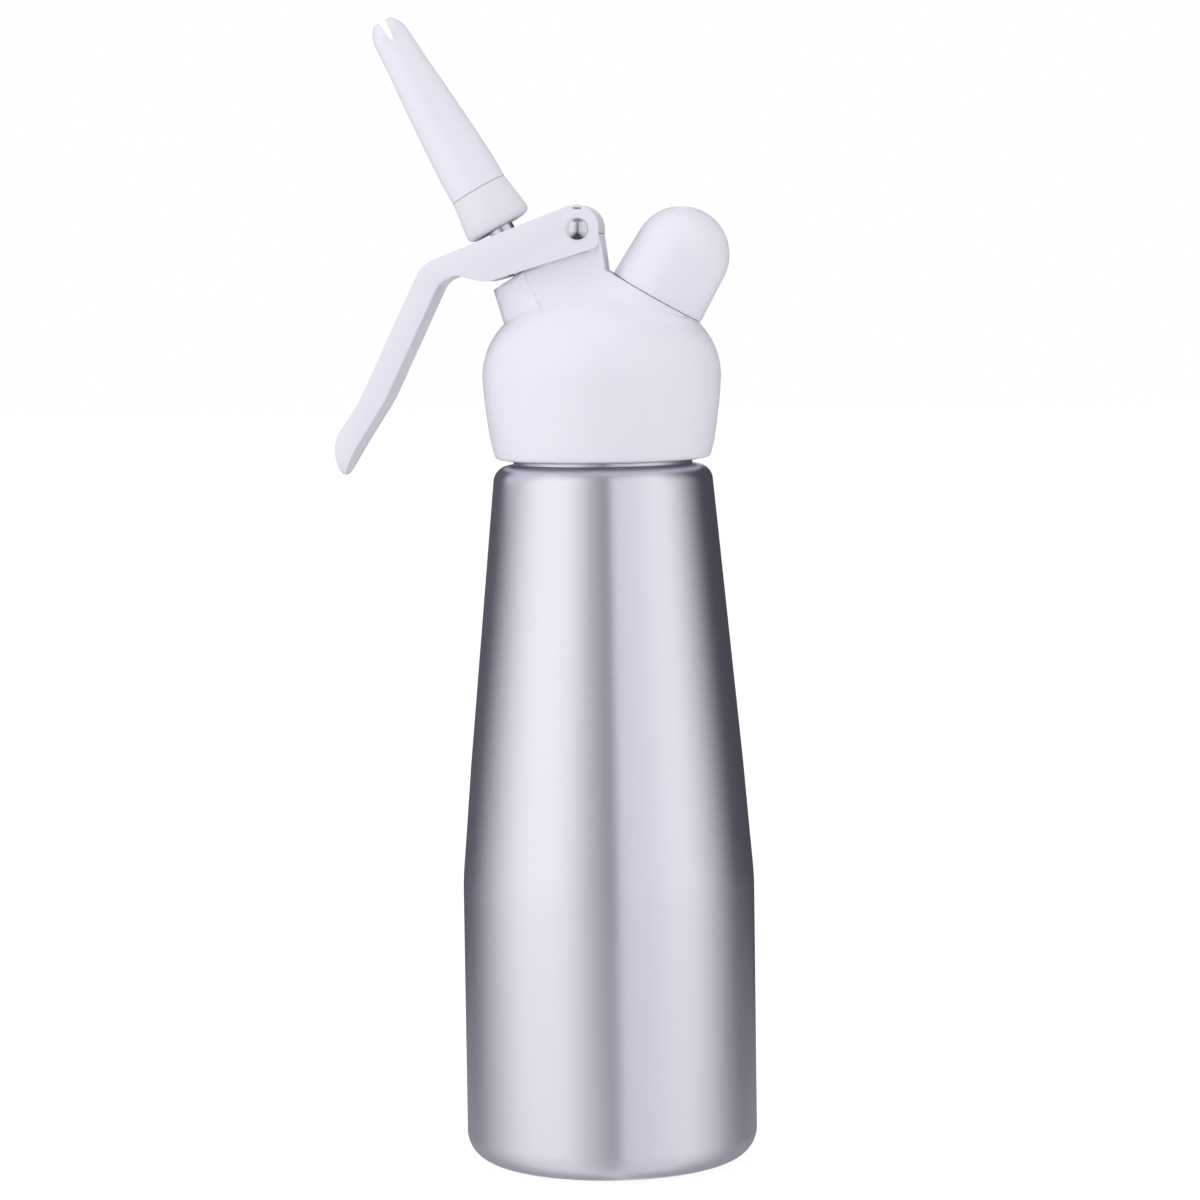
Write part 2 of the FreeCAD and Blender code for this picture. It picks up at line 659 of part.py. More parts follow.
def make_nozzle():
    """Adapter on the stem, its gasket, and the tapered tip with four teeth."""
    adapter = new_body("nozzle_adapter", on_valve)
    section = draw_outline(adapter, "adapter_section", "XZ_Plane", [
        ("stem_radius + snug", "adapter_bottom"),
        ("adapter_radius", "adapter_bottom"),
        ("nozzle_radius", "nozzle_seam"),
        ("spigot_radius", "nozzle_seam"),
        ("spigot_radius", "spigot_top"),
        ("stem_bore + 0.6", "spigot_top"),
        ("stem_bore + 0.6", "stem_top + snug"),
        ("stem_radius + snug", "stem_top + snug"),
    ])
    revolve(adapter, section)
    fillet(adapter, "adapter_rounding", [round_edge("adapter_radius", "adapter_bottom")], "adapter_round")

    gasket_outer = "nozzle_radius - 1"
    gasket_top = "nozzle_seam + 1"
    ring("nozzle_gasket", on_valve, "spigot_radius + snug", gasket_outer, "nozzle_seam + snug", gasket_top)

    tip = new_body("decorator_nozzle", on_valve)
    section = draw_outline(tip, "nozzle_section", "XZ_Plane", [
        ("nozzle_radius - 0.95", "nozzle_seam + 0.1"),
        ("nozzle_radius", "nozzle_seam + 0.1"),
        ("nozzle_radius", "nozzle_straight"),
        ("nozzle_waist_radius", "nozzle_waist", "220"),
        ("nozzle_taper_radius", "nozzle_taper_end"),
        ("nozzle_tip_radius", "nozzle_tip_start", "-60"),
        ("mouth_radius", "nozzle_top", "tip_curve"),
        ("nozzle_bore", "nozzle_top"),
        ("nozzle_bore", "nozzle_tip_start"),
        ("bore_radius", "nozzle_taper_end"),
        ("spigot_radius + running", "spigot_top + 2"),
        ("spigot_radius + running", "nozzle_seam + 1.1"),
        ("nozzle_radius - 0.95", "nozzle_seam + 1.1"),
    ])
    revolve(tip, section)
    for number, role in enumerate(("XZ_Plane", "YZ_Plane"), start=1):
        slot = draw_outline(tip, "tooth_slot_%d" % number, role, [
            ("-slot_root / 2", "nozzle_top - slot_depth"),
            ("slot_root / 2", "nozzle_top - slot_depth"),
            ("slot_mouth / 2", "nozzle_top + 0.1"),
            ("-slot_mouth / 2", "nozzle_top + 0.1"),
        ], Placement(Vector(), Rotation(Vector(0, 1, 0), size_of("slot_turn"))))
        extrude(tip, slot, "4 * nozzle_tip_radius", cut=True, both_ways=True)


def make_charger_port():
    """Threaded stub with the pieces that pierce a gas charger and let its gas in, and the cap."""
    stub = new_body("charger_port", on_port)
    section = draw_outline(stub, "stub_section", "XZ_Plane", [
        ("charger_chamber", "stub_bottom"),
        ("stub_radius", "stub_bottom"),
        ("stub_radius", "port_seam + 1.2"),
        ("stub_thread", "port_seam + 2.1"),
        ("stub_thread", "stub_top"),
        ("charger_guide", "stub_top"),
        ("charger_guide", "chamber_top"),
        ("charger_chamber", "chamber_top"),
    ])
    revolve(stub, section)
    rims = [round_edge("stub_thread", "stub_top"), round_edge("charger_guide", "stub_top")]
    chamfer(stub, "stub_bevels", rims, "0.7")
    ring("port_gasket", on_port, "6", "stub_radius - 0.1", "port_floor + snug", "stub_bottom - snug")
    gasket_bottom = "chamber_top - gasket_room"
    ring("charger_gasket", on_port, "2.2", "charger_chamber - snug", gasket_bottom, "chamber_top - snug")

    holder_bottom = "chamber_top - gasket_room - holder_height"
    holder_top = "chamber_top - gasket_room - snug"
    holder = ring("pin_holder", on_port, "0", "charger_chamber - snug", holder_bottom, holder_top)
    bore = draw_circle(holder, "pin_bore", "XY_Plane", ("0", "0"), "piercer_radius + snug")
    extrude(holder, bore, "2 * chamber_top", cut=True, backwards=True)
    vent = draw_circle(holder, "vent", "XY_Plane", ("2.9", "0"), "0.6")
    vent_cut = extrude(holder, vent, "2 * chamber_top", cut=True, backwards=True)
    vents = holder.newObject("PartDesign::PolarPattern", "three_vents")
    vents.Originals = [vent_cut]
    vents.Axis = (vent, ["N_Axis"])
    vents.Angle = 360
    vents.Occurrences = 3
    holder.Tip = vents
    doc.recompute()

    piercer = new_body("piercing_pin", on_port)
    section = draw_outline(piercer, "piercer_section", "XZ_Plane", [
        ("0", holder_bottom),
        ("piercer_radius", holder_bottom),
        ("piercer_radius", holder_top + " + 0.2"),
        ("0.2", "chamber_top"),
        ("0", "chamber_top"),
    ])
    revolve(piercer, section)

    cup = new_body("check_valve", on_port)
    section = draw_outline(cup, "check_valve_section", "XZ_Plane", [
        ("0", "stub_bottom + 0.2"),
        ("2", "stub_bottom + 0.2"),
        ("charger_chamber - 0.4", "stub_bottom + 1", "8"),
        ("charger_chamber - 0.4", holder_bottom + " - 0.1"),
        ("charger_chamber - 1.4", holder_bottom + " - 0.1"),
        ("2", "stub_bottom + 1.2", "-8"),
        ("0", "stub_bottom + 1.2"),
    ])
    revolve(cup, section)

    cap = new_body("charger_cap", on_port)
    inner_top = "cap_round_height + cap_bore"
    section = draw_outline(cap, "cap_section", "XZ_Plane", [
        ("cap_bore", "port_seam + cap_gap"),
        ("cap_mouth", "port_seam + cap_gap"),
        ("cap_round", "cap_round_height"),
        ("0", "cap_round_height + cap_round", "cap_round"),
        ("0", inner_top),
        ("cap_bore", "cap_round_height", "-cap_bore"),
    ])
    revolve(cap, section)
    fillet(cap, "cap_mouth_rounding", [round_edge("cap_mouth", "port_seam + cap_gap")], "0.5")


# Corners of the lever seen from the side, as offsets from the hinge pin. The knuckle is where
# the web turns down into the handle, and the handle flares outwards at its end.
WEB_END = ("pin_x - lever_crown * sin(web_slope)", "pin_z + lever_crown * cos(web_slope) + 0.1")
KNUCKLE = (WEB_END[0] + " - knuckle_run", WEB_END[1] + " - knuckle_run * tan(web_slope)")
FLARE_OUT = ("pin_x - 57.2", "pin_z - 43.9")
TIP_OUT = ("pin_x - 61.6", "pin_z - 50.2")
TIP_END = ("pin_x - 62.9", "pin_z - 60.9")
TIP_IN = ("pin_x - 61.8", "pin_z - 61.3")
FLARE_IN = ("pin_x - 50.3", "pin_z - 43.5")
PALM = ("pin_x - 35.2", "pin_z - 12.0")
CUSP = ("pin_x - 30.7", "pin_z - 11.5")
BELLY = ("pin_x - 24.0", "pin_z - 13.4")
CHEEK_FOOT = ("pin_x + lever_tail", "pin_z - 4.7")


def side_edge(corner, side):
    """A place on the lever's edge that runs across it at this corner."""
    return Vector(size_of(corner[0]), side, size_of(corner[1]))


def make_lever():
    """Hand lever: two cheeks over the lug, the web that joins them, and the solid handle."""
    body = new_body("lever", upright)
    outline = draw_outline(body, "lever_outline", "XZ_Plane", [
        WEB_END,
        KNUCKLE,
        FLARE_OUT,
        TIP_OUT,
        TIP_END + ("10.7",),
        TIP_IN,
        FLARE_IN,
        PALM,
        CUSP,
        BELLY,
        CHEEK_FOOT,
        ("pin_x + lever_tail", "pin_z"),
        ("pin_x", "pin_z + lever_crown", "lever_round"),
    ])
    extrude(body, outline, "2 * lever_half_width", both_ways=True)
    for radius, corner in (
        ("knuckle_round", KNUCKLE),
        ("flare_out_round", FLARE_OUT),
        ("flare_in_round", FLARE_IN),
        ("palm_round", PALM),
        ("belly_round", BELLY),
        ("foot_round", CHEEK_FOOT),
    ):
        fillet(body, "lever_" + radius, [side_edge(corner, 0)], radius)

    # Between the cheeks the lever is open from below, under a web of even thickness.
    gap_drop = "(gap_length - web_round * sin(web_slope)) * tan(web_slope)"
    gap = draw_outline(body, "cheek_gap_outline", "XZ_Plane", [
        ("pin_x - gap_length", "pin_z + web_round * cos(web_slope) - " + gap_drop),
        ("pin_x - gap_length", "pin_z - 20"),
        ("pin_x + 12", "pin_z - 20"),
        ("pin_x + 12", "lug_ledge + rest_gap"),
        ("pin_x + sqrt(web_round^2 - (pin_z - lug_ledge - rest_gap)^2)", "lug_ledge + rest_gap"),
        ("pin_x - web_round * sin(web_slope)", "pin_z + web_round * cos(web_slope)", "web_round"),
    ])
    extrude(body, gap, "2 * cheek_gap", cut=True, both_ways=True)
    pin_hole = draw_circle(body, "pin_hole", "XZ_Plane", ("pin_x", "pin_z"), "pin_radius + snug")
    extrude(body, pin_hole, "2 * lever_half_width + 2", cut=True, both_ways=True)

    # Two half-round noses under the web push the collar down; the stem passes between them
    # through a slot that is longer towards the handle, because the web swings as it goes down.
    nose = draw_circle(body, "nose_outline", "XZ_Plane", ("0", "nose_bottom + nose_radius"), "nose_radius",
                       beside("valve_foot", "valve_tilt"))
    extrude(body, nose, "2 * cheek_gap", both_ways=True)
    half_slot = "(stem_radius + stem_slack)"
    slot = draw_outline(body, "stem_slot", "XY_Plane", [
        ("stem_swing", "-" + half_slot),
        ("stem_swing + " + half_slot, "0", half_slot),
        ("stem_swing", half_slot, half_slot),
        ("0", half_slot),
        ("-" + half_slot, "0", half_slot),
        ("0", "-" + half_slot, half_slot),
    ], across(on_valve, "collar_top"))
    extrude(body, slot, "4 * nose_radius + 6", cut=True, both_ways=True)

    # A moulding relief in the outside of each cheek, just under the crown of the round end.
    relief_top = "pin_z + lever_crown - relief_depth"
    relief = draw_outline(body, "relief_outline", "XZ_Plane", [
        ("pin_x - relief_length / 2", relief_top + " - relief_height"),
        ("pin_x + relief_length / 2", relief_top + " - relief_height"),
        ("pin_x + relief_length / 2", relief_top),
        ("pin_x - relief_length / 2", relief_top),
    ], Placement(Vector(0, 0, size_of("lever_half_width")), Rotation()))
    relief_cut = extrude(body, relief, "lever_half_width - cheek_gap - 0.4", cut=True)
    reliefs = body.newObject("PartDesign::Mirrored", "both_reliefs")
    reliefs.Originals = [relief_cut]
    reliefs.MirrorPlane = (origin_plane(body, "XZ_Plane"), [""])
    body.Tip = reliefs
    doc.recompute()


def make_hinge_pin():
    pin = new_body("lever_pin", on_pin)
    dome = "(pin_head^2 + pin_dome^2) / (2 * pin_dome)"
    section = draw_outline(pin, "pin_section", "XZ_Plane", [
        ("0", "-lever_half_width - 1"),
        ("pin_radius", "-lever_half_width - 1"),
        ("pin_radius", "lever_half_width + snug"),
        ("pin_head", "lever_half_width + snug"),
        ("0", "lever_half_width + snug + pin_dome", dome),
    ])
    revolve(pin, section)
    cap = new_body("pin_cap", on_pin)
    section = draw_outline(cap, "pin_cap_section", "XZ_Plane", [
        ("pin_radius + snug", "-lever_half_width - snug"),
        ("pin_radius + snug", "-lever_half_width - 1 - snug"),
        ("0", "-lever_half_width - 1 - snug"),
        ("0", "-lever_half_width - 0.6 - pin_dome"),
        ("pin_head", "-lever_half_width - 0.6", dome),
        ("pin_head", "-lever_half_width - snug"),
    ])
    revolve(cap, section)


def write_parts():
    """Tests every object, then writes one file for each sub-part."""
    doc.recompute()
    faults = [thing.Name for thing in doc.Objects if {"Invalid", "Error"} & set(thing.State)]
    bodies = [thing for thing in doc.Objects if thing.TypeId == "PartDesign::Body"]
    faults += [body.Label for body in bodies if body.Shape.isNull() or not body.Shape.isValid()]
    if faults:
        raise ValueError("not built: " + ", ".join(faults))
    os.makedirs("parts", exist_ok=True)
    for body in bodies:
        body.Shape.exportStep("parts/%s.step" % body.Label)
        print("%-18s %9.1f mm3" % (body.Label, body.Shape.Volume))


make_bottle()
make_head()
gasket_bottom = "gasket_ledge - gasket_thickness"
ring("head_gasket", upright, "gasket_inner", "thread_bore - 0.2", gasket_bottom, "gasket_ledge")
make_valve()
make_nozzle()
make_charger_port()
make_lever()
make_hinge_pin()
write_parts()
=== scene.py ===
# %% [markdown]
# # A whipped cream dispenser
# The bottle, the moulded head and everything inside them come from the CAD frame, in metres and
# already in place. This lesson gives each piece the surface of the real one: the bottle is turned
# again with its thread and fine rounding, the mouldings get soft edges, and every metal, plastic
# and rubber gets a finish made of nodes.

# %% Load the frame
import math

import bpy
from mathutils import Matrix, Vector


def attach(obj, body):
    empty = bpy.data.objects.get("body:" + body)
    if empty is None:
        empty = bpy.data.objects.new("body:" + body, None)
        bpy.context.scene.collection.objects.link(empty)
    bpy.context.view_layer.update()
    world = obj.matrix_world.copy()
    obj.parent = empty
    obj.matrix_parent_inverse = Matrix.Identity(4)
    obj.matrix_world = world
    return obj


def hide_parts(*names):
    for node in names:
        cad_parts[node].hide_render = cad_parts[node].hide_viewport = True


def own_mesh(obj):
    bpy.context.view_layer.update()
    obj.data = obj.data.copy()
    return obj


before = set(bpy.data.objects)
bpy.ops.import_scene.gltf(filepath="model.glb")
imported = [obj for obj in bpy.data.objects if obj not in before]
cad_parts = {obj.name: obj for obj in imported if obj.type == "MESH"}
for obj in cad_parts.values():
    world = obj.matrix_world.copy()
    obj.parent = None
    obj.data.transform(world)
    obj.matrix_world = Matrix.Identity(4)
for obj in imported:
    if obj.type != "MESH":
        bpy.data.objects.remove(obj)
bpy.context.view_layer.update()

# %% [markdown]
# Sizes are written in millimetres, as on a drawing, and `mm` turns them into Blender's metres.
# The bottle stands upright on the origin, the valve leans to the left of its axis and the charger
# port to the right. Typing out where a tilted piece's every ring goes would be slow and easy to get
# wrong, so each piece is modelled upright and then laid on its seat in one move.

# %% Sizes and seats
mm = 0.001


def leaning_seat(height, lean):
    """The place of an axis that crosses the bottle's at a height, and leans by so many degrees."""
    return Matrix.Translation((0, 0, height * mm)) @ Matrix.Rotation(math.radians(lean), 4, "Y")


STAND = Matrix.Identity(4)
VALVE_SEAT = leaning_seat(197.2, -29.2)
PORT_SEAT = leaning_seat(199.4, 30.1)
PIN = Vector((-4.9, 0, 242.5)) * mm
print("the lever turns about", PIN)

# %% [markdown]
# Colours are chosen as sRGB hex codes, the way a paint chart gives them, but shaders work in linear
# light, so one function turns the codes over. A second one adds a node with its settings and
# links. Nodes could be added and wired one call at a time, but this keeps each finish below to a
# few lines that say what it is made of.

# %% Colour and node helpers
def linear(code):
    """Linear RGBA of an sRGB hex colour such as "E6E4F0"."""
    channels = [int(code[place:place + 2], 16) / 255 for place in (0, 2, 4)]
    return [c / 12.92 if c <= 0.04045 else ((c + 0.055) / 1.055) ** 2.4 for c in channels] + [1.0]


def add_node(material, kind, settings={}, values={}, links={}):
    """Adds a node, sets its properties and socket values, and links other nodes' outputs to it."""
    node = material.node_tree.nodes.new(kind)
    for name, setting in settings.items():
        setattr(node, name, setting)
    for socket, value in values.items():
        node.inputs[socket].default_value = value
    for socket, source in links.items():
        material.node_tree.links.new(source, node.inputs[socket])
    return node


def empty_nodes(owner):
    """Switches nodes on for a material or a world, and clears them."""
    owner.use_nodes = True
    owner.node_tree.nodes.clear()
    return owner


def new_finish(name):
    """An empty material, and the Object coordinates that its patterns read."""
    material = empty_nodes(bpy.data.materials.new(name))
    coordinates = add_node(material, "ShaderNodeTexCoord")
    return material, coordinates.outputs["Object"]


def finish_material(material, shader):
    """Links the shader to the material's output."""
    add_node(material, "ShaderNodeOutputMaterial", links={"Surface": shader.outputs["BSDF"]})
    print("finish", material.name, len(material.node_tree.nodes), "nodes")
    return material


# %% [markdown]
# **Moulded ABS.** The head, lever, nozzle and charger cap are injection moulded in white ABS.
# Pigment makes it nearly one colour, a cool white, with the faintest cloudiness where the melt
# flowed. The mould was polished to a soft gloss, so its skin ripples very slightly, a few
# millimetres from crest to crest. ABS has an IOR of about 1.53. No moulded edge is sharp. Beveling
# every one as geometry would cost many faces, so the Bevel node rounds them for the light alone,
# by a third of a millimetre.

# %% White ABS
def moulded_plastic(name, pale, deep, roughness, ior, ripple_height):
    """A moulded skin: faint clouds of colour, uneven gloss and a low ripple."""
    cloud_size, gloss_size, ripple_size = 30 * mm, 5 * mm, 3 * mm
    edge_radius = 0.35 * mm
    gloss_spread = 0.03
    material, place = new_finish(name)
    cloud = add_node(material, "ShaderNodeTexNoise", values={"Scale": 1 / cloud_size, "Detail": 2.0},
                     links={"Vector": place})
    colour = add_node(material, "ShaderNodeMix", {"data_type": "RGBA"},
                      {"A": linear(pale), "B": linear(deep)}, {"Factor": cloud.outputs["Fac"]})
    skin = add_node(material, "ShaderNodeTexNoise", values={"Scale": 1 / gloss_size, "Detail": 2.0},
                    links={"Vector": place})
    gloss = add_node(material, "ShaderNodeMapRange",
                     values={"To Min": roughness - gloss_spread, "To Max": roughness + gloss_spread},
                     links={"Value": skin.outputs["Fac"]})
    edges = add_node(material, "ShaderNodeBevel", {"samples": 6}, {"Radius": edge_radius})
    ripple = add_node(material, "ShaderNodeTexNoise", values={"Scale": 1 / ripple_size, "Detail": 1.0},
                      links={"Vector": place})
    bump = add_node(material, "ShaderNodeBump", values={"Strength": 0.15, "Distance": ripple_height},
                    links={"Height": ripple.outputs["Fac"], "Normal": edges.outputs["Normal"]})
    shader = add_node(material, "ShaderNodeBsdfPrincipled", values={"IOR": ior},
                      links={"Base Color": colour.outputs["Result"], "Roughness": gloss.outputs["Result"],
                             "Normal": bump.outputs["Normal"]})
    return finish_material(material, shader)


white_abs = moulded_plastic("white_abs_gloss", "EAE9F5", "E8E6F2", 0.33, 1.53, 0.01 * mm)

# %% [markdown]
# **Moulded polypropylene.** The adapter under the nozzle is a softer, slightly greyer white than
# the ABS round it and has a satin skin, because polypropylene doesn't take a mirror polish. One
# white for both would hide where the nozzle ends, so the same recipe gets values of its own.

# %% White polypropylene
white_polypropylene = moulded_plastic(
    "white_polypropylene_satin", "E7E6EE", "E2E1EA", 0.45, 1.49, 0.015 * mm)

# %% [markdown]
# **Brushed aluminium.** The bottle is drawn from a disc, spun and brushed on a lathe, so its scratches
# run round it. They spread a reflection up and down and leave it sharp sideways, which is
# why the light stands in long upright bands. An anisotropic shader gives the spread. The brush
# lines are a noise stretched along them: about 12 mm long and 0.25 mm wide, coarser than the real
# 0.05 mm so that they show.

# %% Brushed aluminium
def brushed_metal(name, pale, deep, roughness, line_length, line_width, anisotropy, scratch_height):
    """A metal brushed round its upright axis, with slightly uneven patches."""
    patches_per_metre = 18.0
    patch_share = 0.3
    gloss_spread = 0.06
    material, place = new_finish(name)
    stretch = add_node(material, "ShaderNodeMapping",
                       values={"Scale": (1 / line_length, 1 / line_length, 1 / line_width)},
                       links={"Vector": place})
    lines = add_node(material, "ShaderNodeTexNoise",
                     values={"Scale": 1.0, "Detail": 4.0, "Roughness": 0.65},
                     links={"Vector": stretch.outputs["Vector"]})
    patches = add_node(material, "ShaderNodeTexNoise",
                       values={"Scale": patches_per_metre, "Detail": 2.0}, links={"Vector": place})
    tone = add_node(material, "ShaderNodeMix", {"data_type": "FLOAT"}, {"Factor": patch_share},
                    {"A": lines.outputs["Fac"], "B": patches.outputs["Fac"]})
    colour = add_node(material, "ShaderNodeMix", {"data_type": "RGBA"},
                      {"A": linear(deep), "B": linear(pale)}, {"Factor": tone.outputs["Result"]})
    gloss = add_node(material, "ShaderNodeMapRange",
                     values={"To Min": roughness - gloss_spread, "To Max": roughness + gloss_spread},
                     links={"Value": tone.outputs["Result"]})
    bump = add_node(material, "ShaderNodeBump", values={"Strength": 0.3, "Distance": scratch_height},
                    links={"Height": lines.outputs["Fac"]})
    round_the_axis = add_node(material, "ShaderNodeTangent", {"direction_type": "RADIAL", "axis": "Z"})
    shader = add_node(material, "ShaderNodeBsdfPrincipled",
                      values={"Metallic": 1.0, "Anisotropic": anisotropy, "Anisotropic Rotation": 0.25},
                      links={"Base Color": colour.outputs["Result"], "Roughness": gloss.outputs["Result"],
                             "Normal": bump.outputs["Normal"], "Tangent": round_the_axis.outputs["Tangent"]})
    return finish_material(material, shader)


brushed_aluminium = brushed_metal(
    "brushed_aluminium", "F9F8FF", "ECECF5", roughness=0.32,
    line_length=12 * mm, line_width=0.25 * mm, anisotropy=0.8, scratch_height=0.01 * mm)

# %% [markdown]
# **Chrome plate.** The hinge pin is nickel and chrome plated steel, polished first, so it mirrors the
# whole studio in a small dome. Only hairline scratches and a slight blueness set it apart
# from a perfect mirror. The turned steel and brass pieces are made the same way, each with its own
# colour and a duller, more scratched surface.

# %% Polished and plain metals
def polished_metal(name, pale, deep, roughness, scratch_height):
    """A polished or finely turned metal with hairline scratches."""
    hairline_size = 0.5 * mm
    gloss_spread = 0.05
    material, place = new_finish(name)
    hairlines = add_node(material, "ShaderNodeTexNoise",
                         values={"Scale": 1 / hairline_size, "Detail": 5.0, "Distortion": 1.5},
                         links={"Vector": place})
    colour = add_node(material, "ShaderNodeMix", {"data_type": "RGBA"},
                      {"A": linear(deep), "B": linear(pale)}, {"Factor": hairlines.outputs["Fac"]})
    gloss = add_node(material, "ShaderNodeMapRange",
                     values={"To Min": roughness - gloss_spread, "To Max": roughness + gloss_spread},
                     links={"Value": hairlines.outputs["Fac"]})
    bump = add_node(material, "ShaderNodeBump", values={"Strength": 0.2, "Distance": scratch_height},
                    links={"Height": hairlines.outputs["Fac"]})
    shader = add_node(material, "ShaderNodeBsdfPrincipled", values={"Metallic": 1.0},
                      links={"Base Color": colour.outputs["Result"], "Roughness": gloss.outputs["Result"],
                             "Normal": bump.outputs["Normal"]})
    return finish_material(material, shader)


chrome = polished_metal("chrome_plate", "E6E8EE", "D4D7DE", 0.13, 0.002 * mm)
stainless_steel = polished_metal("turned_stainless_steel", "C9CACD", "B4B5B9", 0.2, 0.004 * mm)
spring_steel = polished_metal("stainless_spring_wire", "B9BABD", "9C9DA2", 0.28, 0.006 * mm)
brass = polished_metal("turned_brass", "D9B46A", "C29A4E", 0.24, 0.004 * mm)

# %% [markdown]
# The lower part of the pin's dome is painted darker, in a wedge that points at the middle of the dome:
# a painted dark reflection, which the studio round the pin doesn't give it. A
# painted mask would need a UV map on a tiny piece, so the wedge is worked out from Object coordinates.

# %% Painted dark reflection on the chrome
def paint_dark_reflection(material, centre, depth, shade):
    """Paints a dark reflection on the metal below the centre, in a wedge that is full at `depth` under it.
    """
    wedge_slope = 0.8
    nodes = {node.type: node for node in material.node_tree.nodes}
    shader = nodes["BSDF_PRINCIPLED"]
    plate = shader.inputs["Base Color"].links[0].from_socket
    offset = add_node(material, "ShaderNodeVectorMath", {"operation": "SUBTRACT"}, {1: centre},
                      {0: nodes["TEX_COORD"].outputs["Object"]})
    parts = add_node(material, "ShaderNodeSeparateXYZ", links={"Vector": offset.outputs["Vector"]})
    sideways = add_node(material, "ShaderNodeMath", {"operation": "ABSOLUTE"}, links={0: parts.outputs["X"]})
    height = add_node(material, "ShaderNodeMath", {"operation": "MULTIPLY_ADD"}, {1: wedge_slope},
                      {0: sideways.outputs["Value"], 2: parts.outputs["Z"]})
    # How far the painted dark reflection covers the plate here.
    painted_dark_share = add_node(material, "ShaderNodeMapRange", {"interpolation_type": "SMOOTHSTEP"},
                    {"From Min": 0.0, "From Max": -depth}, {"Value": height.outputs["Value"]})
    painted_dark_plate = add_node(material, "ShaderNodeMix", {"data_type": "RGBA"}, {"B": linear(shade)},
                      {"A": plate, "Factor": painted_dark_share.outputs["Result"]})
    material.node_tree.links.new(painted_dark_plate.outputs["Result"], shader.inputs["Base Color"])


# The pin's chrome gets a painted dark reflection low on its domes.
pin_chrome_painted_dark = polished_metal("chrome_plate_painted_dark", "E6E8EE", "D4D7DE", 0.13, 0.002 * mm)
paint_dark_reflection(pin_chrome_painted_dark, centre=PIN, depth=1.4 * mm, shade="505056")

# %% [markdown]
# **Silicone and rubber.** The gaskets are translucent food-grade silicone, which stays milky
# and satin. Light that passes through them would take long to render for rings that hardly show, so
# a milky colour stands in for it. The stem's O-ring and the check valve are black nitrile rubber
# with a dull skin. Both are moulded, so the recipe for plastic fits them too.

# %% Silicone and rubber
silicone = moulded_plastic("food_grade_silicone", "DEDCD6", "D2D0CA", 0.5, 1.41, 0.008 * mm)
black_rubber = moulded_plastic("black_nitrile_rubber", "26262A", "1B1B1E", 0.62, 1.52, 0.01 * mm)

# %% [markdown]
# ## Pieces turned on a lathe
# The bottle, the charger cap, the threaded stub, the nozzle and its adapter, and the hinge pin are
# all round. A spin or a Screw modifier could sweep their outline in one go, but drawing them ring
# by ring, as a lathe tool moves along the work, lets each ring be placed from the drawing and
# leaves clean quads. Each pair below is a radius and a height in millimetres.

# %% Lathe helper
def select_nothing():
    """Leaves edit mode and deselects everything, the CAD pieces too."""
    if bpy.context.object and bpy.context.object.mode != "OBJECT":
        bpy.ops.object.mode_set(mode="OBJECT")
    bpy.ops.object.select_all(action="DESELECT")


def select_only(piece):
    """Selects one piece and makes it the active one."""
    select_nothing()
    piece.select_set(True)
    bpy.context.view_layer.objects.active = piece


def lay_on(piece, seat):
    """Puts the piece on its seat and keeps the place in its mesh."""
    select_only(piece)
    piece.matrix_world = seat @ piece.matrix_world
    bpy.ops.object.transform_apply(location=True, rotation=True, scale=True)


def turn_piece(name, rings, seat, segments=128, sharp=30):
    """Adds the first ring as a circle, and extrudes and resizes it to each of the next ones."""
    merge = 0.02 * mm
    select_nothing()
    radius, height = rings[0]
    bpy.ops.mesh.primitive_circle_add(vertices=segments, radius=radius * mm, location=(0, 0, height * mm))
    piece = bpy.context.object
    piece.name = name
    bpy.ops.object.mode_set(mode="EDIT")
    bpy.ops.mesh.select_all(action="SELECT")
    for next_radius, next_height in rings[1:]:
        rise = (0, 0, (next_height - height) * mm)
        bpy.ops.mesh.extrude_region_move(TRANSFORM_OT_translate={"value": rise})
        factor = next_radius / radius
        bpy.ops.transform.resize(value=(factor, factor, 1), center_override=(0, 0, next_height * mm))
        radius, height = next_radius, next_height
    bpy.ops.mesh.select_all(action="SELECT")
    bpy.ops.mesh.remove_doubles(threshold=merge)
    bpy.ops.mesh.normals_make_consistent(inside=False)
    bpy.ops.object.mode_set(mode="OBJECT")
    lay_on(piece, seat)
    bpy.ops.object.shade_smooth_by_angle(angle=math.radians(sharp))
    print(name, len(piece.data.polygons), "faces")
    return piece


def hand_over(piece, material, body, slot, *nodes):
    """Gives a finished piece its material and its place in the machine."""
    piece.data.materials.clear()
    piece.data.materials.append(material)
    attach(piece, body)
    if nodes:
        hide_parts(*nodes)


# %% [markdown]
# Rounded corners of an outline are arcs. A bevel could round them after the turning, but an arc in
# the outline keeps its radius exact. The poles on the axis are rings of almost no width, which the
# merge by distance closes to one point.

# %% Arc helper
POLE = 0.004


def arc(centre_radius, centre_height, radius, start, end, steps):
    """Rings along an arc of the outline, from one direction to another: 0 is outwards, 90 is up."""
    turns = [math.radians(start + (end - start) * step / steps) for step in range(steps + 1)]
    return [
        (max(centre_radius + radius * math.cos(turn), POLE), centre_height + radius * math.sin(turn))
        for turn in turns
    ]


# %% [markdown]
# **Threads.** A rolled thread is one ridge wound round the neck. The ridge's cross-section is a
# small plane whose outer edge is narrowed to a crest. Rings stacked on each other would never lead
# into the next, so a Screw modifier winds the plane up, and its two open ends are filled. Since these
# joints pull straight off in the frame instead of unscrewing, each crest stops just short of the
# other half's crest.

